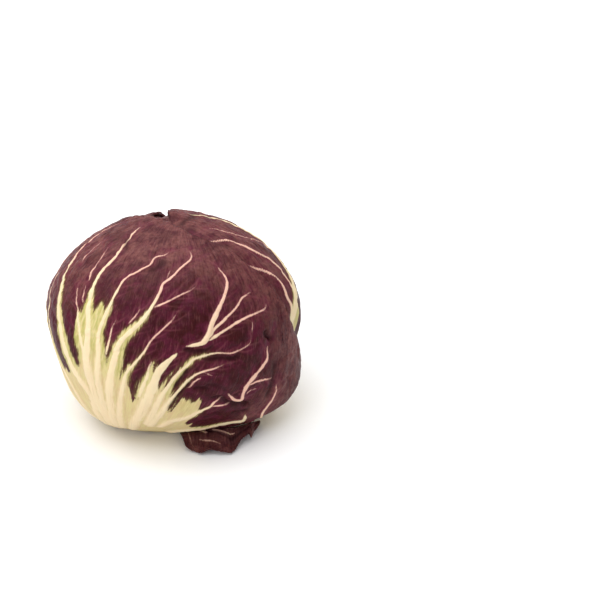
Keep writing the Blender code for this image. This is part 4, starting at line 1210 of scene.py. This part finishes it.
def flesh(name, light, dark, stain, patches, roughness):
    """Cut or inner plant tissue, moist and fleshy: matt and pale, mottled in two tones, and stained
    where the marks say so."""
    made = bpy.data.materials.new(name)
    made.use_nodes = True
    tree = made.node_tree
    surface = tree.nodes["Principled BSDF"]
    where = add_node(tree, "ShaderNodeTexCoord").outputs["Object"]
    trace = add_node(tree, "ShaderNodeAttribute", attribute_name="trace").outputs["Fac"]
    pattern = {}
    kinds = (("patches", patches, 4.0), ("spots", FLESH_SPOTS, 3.0), ("grain", FLESH_GRAIN, 3.0))
    for kind, size, detail in kinds:
        settings = {"Vector": where, "Scale": per_mm(size), "Detail": detail}
        pattern[kind] = add_node(tree, "ShaderNodeTexNoise", settings).outputs[0]
    stained = add_node(tree, "ShaderNodeMath", {0: trace, 1: pattern["spots"]}, operation="ADD").outputs[0]
    face = light
    for over, mark, low, high in ((dark, pattern["patches"], 0.35, 0.65), (stain, stained, 0.6, 1.3)):
        limits = {"Value": mark, "From Min": low, "From Max": high}
        share = add_node(tree, "ShaderNodeMapRange", limits).outputs[0]
        face = add_node(tree, "ShaderNodeMix", {0: share, 6: face, 7: over}, data_type="RGBA").outputs[2]
    tree.links.new(face, surface.inputs["Base Color"])
    grain = {"Height": pattern["grain"], "Strength": 0.6, "Distance": 0.15 * MM}
    bump = add_node(tree, "ShaderNodeBump", grain)
    tree.links.new(bump.outputs[0], surface.inputs["Normal"])
    surface.inputs["Roughness"].default_value = roughness
    surface.inputs["IOR"].default_value = 1.4
    surface.inputs["Subsurface Weight"].default_value = 0.1
    surface.inputs["Subsurface Scale"].default_value = 1.5 * MM
    return made


def heart_depth(directions):
    """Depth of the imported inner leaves: under every wrapper, clear of the stem, stepped at edges."""
    depth = HEART_EXTRA_GAP + sheet_depth(LEAVES, directions, HEART_COVER_CLEAR, HEART_COVER_BLEND)
    socket = STEM_LENGTH + LEAF_GAP
    near_stem = 1.0 - smoothstep((stem_angle(directions) - SOCKET_POLAR) / SOCKET_BLEND)
    depth = depth + np.maximum(socket - depth, 0.0) * near_stem
    polar, azimuth = place_of(directions, CROWN_AXIS, 0.0)
    for edge, wave, waves, turned in HEART_EDGES:
        margin = edge + wave * np.cos(np.radians(waves * azimuth + turned))
        margin = margin + 1.2 * wander(azimuth, 4.0, waves)
        depth = depth + HEART_STEP * smoothstep((polar - margin) / HEART_STEP_WIDTH)
    return depth


def heart_vein_distance(polar, azimuth, middle):
    """Millimetres from one of the heart's veins, which run from base to crown."""
    apart = azimuth - middle - 6.0 * wander(polar, 14.0, 70 + middle)
    return np.abs((apart + 180.0) % 360.0 - 180.0) * DEGREE * np.sin(np.radians(polar))


def capped_rings(rings, low_point, high_point):
    """Points and faces of a closed skin over rings, with a point at each end."""
    count, sides = rings.shape[:2]
    points = np.concatenate([rings.reshape(-1, 3), [low_point, high_point]])
    index = np.arange(count * sides).reshape(count, sides)
    round_index = np.concatenate([index, index[:, :1]], axis=1)
    faces = grid_quads(round_index).tolist()
    after = np.roll(index, -1, axis=1)
    low = np.full(sides, count * sides)
    high = low + 1
    faces += np.stack([low, after[0], index[0]], axis=1).tolist()
    faces += np.stack([high, index[-1], after[-1]], axis=1).tolist()
    return points, faces


def underside(x, y):
    """Height of the head's outline above the floor over each place, found by halving."""
    low = np.zeros_like(x)
    high = np.full_like(x, CENTRE_HEIGHT)
    for _ in range(HALVING_STEPS):
        height = (low + high) / 2.0
        away = np.stack([x, y, height - CENTRE_HEIGHT], axis=-1)
        inside = np.linalg.norm(away, axis=-1) < outline_radius(unit(away), np.zeros_like(x))
        high = np.where(inside, height, high)
        low = np.where(inside, low, height)
    return low


def colour(name, code, description):
    """A colour that a user may change, from its sRGB hex code."""
    return bpy.props.FloatVectorProperty(
        name=name, description=description,
        default=linear(code), size=3, min=0.0, max=1.0, subtype="COLOR")


class RadicchioSizes(bpy.types.PropertyGroup):
    """Sizes of the fine form that a user may change."""

    vein_height: bpy.props.FloatProperty(
        name="Vein height", description="How far the veins stand out, as a share of their real height",
        default=1.0, min=0.0, max=2.0, subtype="FACTOR")
    quilting: bpy.props.FloatProperty(
        name="Quilting", description="How far the leaf puffs up between its veins",
        default=0.00045, min=0.0, max=0.002, unit="LENGTH")
    crumple: bpy.props.FloatProperty(
        name="Crumple", description="Depth of the fine creases between the veins",
        default=0.0007, min=0.0, max=0.003, unit="LENGTH")
    raggedness: bpy.props.FloatProperty(
        name="Ragged margin", description="Depth of the small teeth along each leaf's margin",
        default=0.0007, min=0.0, max=0.003, unit="LENGTH")


class RadicchioColours(bpy.types.PropertyGroup):
    """Colours of the leaves, heart and stem."""

    wine: colour("Wine red", "3a1014", "Main colour of the leaf between its veins")
    # Dark wine is also the shade painted into the bottoms of creases and folds
    dark_wine: colour("Dark wine", "2c0b0f", "Darkest mottling and creases")
    # Brown is also the paler tone towards the crown: partly aged tissue, partly painted light from above
    # and painted sheen
    plum: colour("Plum", "4d1628", "Purple patches of the leaf")
    brown: colour("Brown", "754744", "Brownish patches of the leaf")
    magenta: colour("Magenta", "641a37", "Brighter red tissue close beside the veins")
    olive: colour("Olive", "5f4a2c", "Narrow brownish band where pale tissue turns red")
    rose: colour("Rose", "9c6660", "Faint side veins and streaks")
    cream: colour("Cream", "e0cba6", "Fleshy base of the leaves")
    # Beige is the valleys' tone, darker than the cream partly as painted shade; the stem's mottling uses it
    # too
    beige: colour("Beige", "c8af84", "Valleys of the fleshy base")
    brown_line: colour("Fibre", "a88a5c", "Thin darker fibres along the fleshy base")
    green: colour("Yellow green", "aaa65a", "Tissue beside the main veins")
    straw: colour("Straw", "cdbe88", "Paler streaks in the yellow green tissue")
    vein: colour("Vein", "e4d0aa", "Thick veins")
    pink: colour("Pink vein", "e2b3a0", "Thin ends of the veins")


class RadicchioWrapperLeaves(bpy.types.Operator):
    """Builds the four wrapper leaves"""

    bl_idname = "radicchio.wrapper_leaves"
    bl_label = "Wrapper Leaves"

    def execute(self, context):
        sizes = context.scene.radicchio_sizes
        surface = leaf_skin(context.scene.radicchio_colours)
        for count, leaf in enumerate(LEAVES):
            outer, inner, colours, streaks = leaf_form(leaf, LEAVES[:count], sizes)
            faces, used = sheet_faces(*outer.shape[:2])
            points = np.concatenate([outer.reshape(-1, 3), inner.reshape(-1, 3)[used]])
            values = {name: np.concatenate([v.ravel(), v.ravel()[used]]) for name, v in colours.items()}
            lines = streaks.reshape(-1, 3)
            add_piece(leaf.name, points, faces, surface, leaf.node, values,
                      np.concatenate([lines, lines[used]]))
        return {"FINISHED"}


class RadicchioHeart(bpy.types.Operator):
    """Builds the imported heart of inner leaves"""

    bl_idname = "radicchio.packed_heart"
    bl_label = "Packed Heart"

    def execute(self, context):
        colours = context.scene.radicchio_colours
        polar = np.linspace(0.0, 180.0, HEART_RINGS)
        azimuth = np.linspace(-180.0, 180.0, HEART_SIDES, endpoint=False)
        ways = direction(polar[1:-1, None], azimuth[None, :])
        ends = direction(polar[[0, -1]], np.zeros(2))
        rings = points_at(ways, heart_depth(ways))
        low, high = points_at(ends, heart_depth(ends))
        light, dark, stain = tuple(colours.pink), tuple(colours.rose), tuple(colours.plum)
        surface = flesh("packed_inner_leaf", light, dark, stain, HEART_PATCHES, 0.5)
        points, faces = capped_rings(rings, low, high)
        apart = [heart_vein_distance(polar[1:-1, None], azimuth[None, :], at) for at in HEART_VEIN_AZIMUTHS]
        pale = np.exp(-((np.min(apart, axis=0) / HEART_VEIN_WIDTH) ** 2))
        trace = smoothstep((polar[1:-1, None] - HEART_PALE_UNTIL) / HEART_PALE_BLEND) * (1.0 - pale)
        values = {"trace": np.concatenate([trace.ravel(), [0.0, 1.0]])}
        add_piece("packed_heart", points, faces, surface, "heart_of_inner_leaves", values)
        return {"FINISHED"}


class RadicchioStem(bpy.types.Operator):
    """Builds the trimmed stem with its cut face"""

    bl_idname = "radicchio.trimmed_stem"
    bl_label = "Trimmed Stem"

    def execute(self, context):
        colours = context.scene.radicchio_colours
        azimuth = np.linspace(-180.0, 180.0, STEM_SIDES, endpoint=False)
        cut = [(share * STEM_POLAR, 0.0) for share in np.linspace(0.04, 0.96, 24)]
        side = [(STEM_POLAR, depth) for depth in np.linspace(0.5, STEM_LENGTH - 0.5, 14)]
        top = [(share * STEM_POLAR, STEM_LENGTH) for share in np.linspace(0.96, 0.1, 8)]
        rings = []
        for polar, depth in cut + side + top:
            ways = direction(np.full(STEM_SIDES, polar), azimuth)
            rings.append(points_at(ways, np.full(STEM_SIDES, depth)))
        ends = direction(np.zeros(2), np.zeros(2))
        low, high = points_at(ends, np.array([0.0, STEM_LENGTH]))
        light, dark, stain = tuple(colours.cream), tuple(colours.beige), tuple(colours.brown_line)
        surface = flesh("trimmed_stem_flesh", light, dark, stain, STEM_PATCHES, 0.6)
        points, faces = capped_rings(np.array(rings), low, high)
        out = np.array([polar / STEM_POLAR for polar, _ in cut + side + top])
        browned = 0.7 * np.exp(-(((out - STEM_RING) / STEM_RING_WIDTH) ** 2))
        browned = browned + 0.8 * smoothstep((out - 0.86) / 0.1)
        values = {"trace": np.concatenate([np.repeat(browned, STEM_SIDES), [0.0, 0.0]])}
        add_piece("stem_end", points, faces, surface, "trimmed_stem", values)
        return {"FINISHED"}


def flap_place(across, out):
    """Where a share across and out of the torn leaf lies on the floor, before its height."""
    stations = np.linspace(0.0, 1.0, len(FLAP_ROOT))
    root = np.stack([rounded(list(zip(stations, axis)), across, 0.08) for axis in zip(*FLAP_ROOT)])
    edge = np.stack([rounded(list(zip(stations, axis)), across, 0.03) for axis in zip(*FLAP_EDGE)])
    return np.stack([start * (1.0 - out) + end * out for start, end in zip(root, edge)])


def flap_form():
    """Upper and lower points of the torn leaf, and the marks that its material reads."""
    across = np.linspace(0.0, 1.0, FLAP_COLUMNS)
    out = np.linspace(0.0, 1.0, FLAP_ROWS)[:, None]
    teeth = [amount * wander(across, spacing, seed) for amount, spacing, seed in FLAP_TEETH]
    notch = FLAP_NOTCH * (1.0 + sum(teeth))
    spike = FLAP_SPIKE * np.exp(-(((across - FLAP_SPIKE_AT) / FLAP_SPIKE_WIDTH) ** 2))
    reach = out * (1.0 - notch + spike)
    x, y = flap_place(across, reach)
    flat = np.stack([x, y, np.zeros_like(x)], axis=-1)
    wave = FLAP_WAVE * out * (1.0 + np.sin(2.0 * np.pi * (FLAP_WAVES_ACROSS * across + 0.35 * out)))
    for height, spacing, seed in FLAP_LUMPS:
        wave = wave + height * out * (1.0 + lumps(flat, spacing, seed))
    lift = FLAP_LIFT * smoothstep((across - FLAP_LIFT_FROM) / (1.0 - FLAP_LIFT_FROM)) * (1.0 - 0.4 * out)
    depth = FLAP_THICKNESS * (1.0 - out) + FLAP_EDGE_THICKNESS * out
    roof = underside(x, y)
    ceiling = roof - FLAP_CLEARANCE - FLAP_THICKNESS
    tucked = 1.0 - smoothstep(out / FLAP_TUCK)
    lower = ceiling * tucked + (FLAP_REST + wave + lift) * (1.0 - tucked)
    lower = np.clip(lower, FLAP_REST, np.maximum(ceiling, FLAP_REST))
    torn = np.interp(across, *zip(*FLAP_FOLD)) + 0.03 * wander(across, 0.03, 11)
    under_fold = smoothstep((out - torn) / 0.05)
    beside_fold = smoothstep((across - FLAP_FOLD_FROM) / 0.06)
    folded = smoothstep(out / 0.25) * (1.0 - under_fold) * beside_fold
    upper = np.minimum(lower + depth + FLAP_FOLD_HEIGHT * folded, np.maximum(roof - 0.3, lower + depth))
    marks = {name: np.zeros(x.shape) for name in LEAF_MARKS}
    for route, widths, pink in FLAP_VEINS:
        shares = smooth_route(route)
        line = np.stack([*flap_place(shares[:, 0], shares[:, 1]), np.zeros(len(shares))], axis=-1)
        close, apart, travel = near_line(flat.reshape(-1, 3), line, 3.0)
        width = np.interp(travel, (0.0, 0.5, 1.0), widths)
        paint = np.clip((0.5 * width - apart) / 1.0 + 0.5, 0.0, 1.0) * (1.0 - 0.45 * pink)
        marks["vein"].ravel()[close] = np.maximum(marks["vein"].ravel()[close], paint)
        marks["pink"].ravel()[close] = np.maximum(marks["pink"].ravel()[close], pink)
        upper.ravel()[close] += FLAP_VEIN_HEIGHT * paint
    marks["pink"] += pink_edge(marks["vein"])
    # Shade painted in a narrow band just past the edge of the torn fold
    marks["crease"] = CREASE_PAINTED_SHADE * np.exp(-(((out - torn - 0.05) / 0.05) ** 2)) * beside_fold
    marks["age"] += 1.0
    dry = 0.8 * np.exp(-(1.0 - out) * FLAP_LENGTH / MARGIN_DRY) + 0.5 * np.exp(-across * 60.0)
    marks["dry"] = DRY_DARKNESS * dry
    streaks = np.stack([across * 50.0 + 0.0 * out, out * 15.0 + 0.0 * across, 0.0 * x], axis=-1)
    return np.stack([x, y, upper], axis=-1), np.stack([x, y, lower], axis=-1), marks, streaks


class RadicchioTornLeaf(bpy.types.Operator):
    """Builds the torn leaf that pokes out from under the head"""

    bl_idname = "radicchio.torn_leaf"
    bl_label = "Torn Leaf"

    def execute(self, context):
        upper, under, marks, streaks = flap_form()
        faces, used = sheet_faces(FLAP_ROWS, FLAP_COLUMNS)
        faces = [face[::-1] for face in faces]
        points = np.concatenate([upper.reshape(-1, 3), under.reshape(-1, 3)[used]])
        values = {name: np.concatenate([v.ravel(), v.ravel()[used]]) for name, v in marks.items()}
        lines = streaks.reshape(-1, 3)
        surface = leaf_skin(context.scene.radicchio_colours)
        surface.name = "limp_torn_leaf"
        add_piece("torn_leaf", points, faces, surface, "torn_leaf_flap", values,
                  np.concatenate([lines, lines[used]]))
        return {"FINISHED"}


class RadicchioStage(bpy.types.Operator):
    """Sets the pale floor, the soft lights and the camera"""

    bl_idname = "radicchio.stage"
    bl_label = "Stage"

    def execute(self, context):
        scene = context.scene
        mesh = bpy.data.meshes.new("floor")
        corners = [(x * FLOOR_REACH, y * FLOOR_REACH, 0.0) for x, y in ((-1, -1), (1, -1), (1, 1), (-1, 1))]
        mesh.from_pydata(corners, [], [(0, 1, 2, 3)])
        floor = bpy.data.objects.new("floor", mesh)
        scene.collection.objects.link(floor)
        # Board with matt white paint: no gloss, so the light on it stays soft and even
        paint = bpy.data.materials.new("matt_white_board")
        paint.use_nodes = True
        surface = paint.node_tree.nodes["Principled BSDF"]
        surface.inputs["Base Color"].default_value = (FLOOR_WHITE, FLOOR_WHITE, FLOOR_WHITE, 1.0)
        surface.inputs["Roughness"].default_value = 0.9
        mesh.materials.append(paint)

        world = bpy.data.worlds.new("soft_white_room")
        world.use_nodes = True
        sky = world.node_tree.nodes["Background"]
        sky.inputs["Color"].default_value = (1.0, 1.0, 1.0, 1.0)
        sky.inputs["Strength"].default_value = ROOM_LIGHT
        scene.world = world

        for name, place, aim, side, power in LIGHTS:
            lamp = bpy.data.lights.new(name, "AREA")
            lamp.energy = power
            lamp.size = side
            light = bpy.data.objects.new(name, lamp)
            scene.collection.objects.link(light)
            light.location = place
            way = np.array(aim) - np.array(place)
            lean = math.atan2(math.hypot(way[0], way[1]), -way[2])
            light.rotation_euler = (lean, 0.0, math.atan2(-way[0], way[1]))

        lens = bpy.data.cameras.new("photo_camera")
        lens.lens = CAMERA_LENS
        lens.sensor_width = CAMERA_SENSOR
        camera = bpy.data.objects.new("photo_camera", lens)
        scene.collection.objects.link(camera)
        lean = math.radians(CAMERA_ELEVATION)
        half_frame = FRAME_PIXELS / 2.0
        pixel = CAMERA_DISTANCE * CAMERA_SENSOR / 2.0 / CAMERA_LENS / half_frame
        up = np.array([0.0, math.sin(lean), math.cos(lean)])
        back = np.array([0.0, -math.cos(lean), math.sin(lean)])
        target = np.array([0.0, 0.0, CENTRE_HEIGHT * MM])
        target = target + np.array([1.0, 0.0, 0.0]) * (half_frame - HEAD_PIXEL[0]) * pixel
        target = target + up * (HEAD_PIXEL[1] - half_frame) * pixel
        camera.location = target + back * CAMERA_DISTANCE
        camera.rotation_euler = (math.radians(90.0 - CAMERA_ELEVATION), 0.0, 0.0)
        scene.camera = camera
        scene.view_settings.view_transform = "Standard"
        return {"FINISHED"}


class RadicchioPanel(bpy.types.Panel):
    """Lists the pieces of the head and their settings"""

    bl_idname = "VIEW3D_PT_radicchio"
    bl_label = "Radicchio Head"
    bl_space_type = "VIEW_3D"
    bl_region_type = "UI"
    bl_category = "Radicchio"

    def draw(self, context):
        for group in (context.scene.radicchio_sizes, context.scene.radicchio_colours):
            for name in group.bl_rna.properties.keys():
                if name not in ("rna_type", "name"):
                    self.layout.prop(group, name)
        for operator in OPERATORS:
            self.layout.operator(operator.bl_idname)


OPERATORS = (RadicchioStage, RadicchioWrapperLeaves, RadicchioHeart, RadicchioStem, RadicchioTornLeaf)
CLASSES = (RadicchioSizes, RadicchioColours, *OPERATORS, RadicchioPanel)


def register():
    for cls in CLASSES:
        bpy.utils.register_class(cls)
    bpy.types.Scene.radicchio_sizes = bpy.props.PointerProperty(type=RadicchioSizes)
    bpy.types.Scene.radicchio_colours = bpy.props.PointerProperty(type=RadicchioColours)


def unregister():
    del bpy.types.Scene.radicchio_colours
    del bpy.types.Scene.radicchio_sizes
    for cls in reversed(CLASSES):
        bpy.utils.unregister_class(cls)


def main():
    register()
    bpy.ops.radicchio.stage()
    bpy.ops.radicchio.wrapper_leaves()
    bpy.ops.radicchio.packed_heart()
    bpy.ops.radicchio.trimmed_stem()
    bpy.ops.radicchio.torn_leaf()


if __name__ == "__main__":
    main()
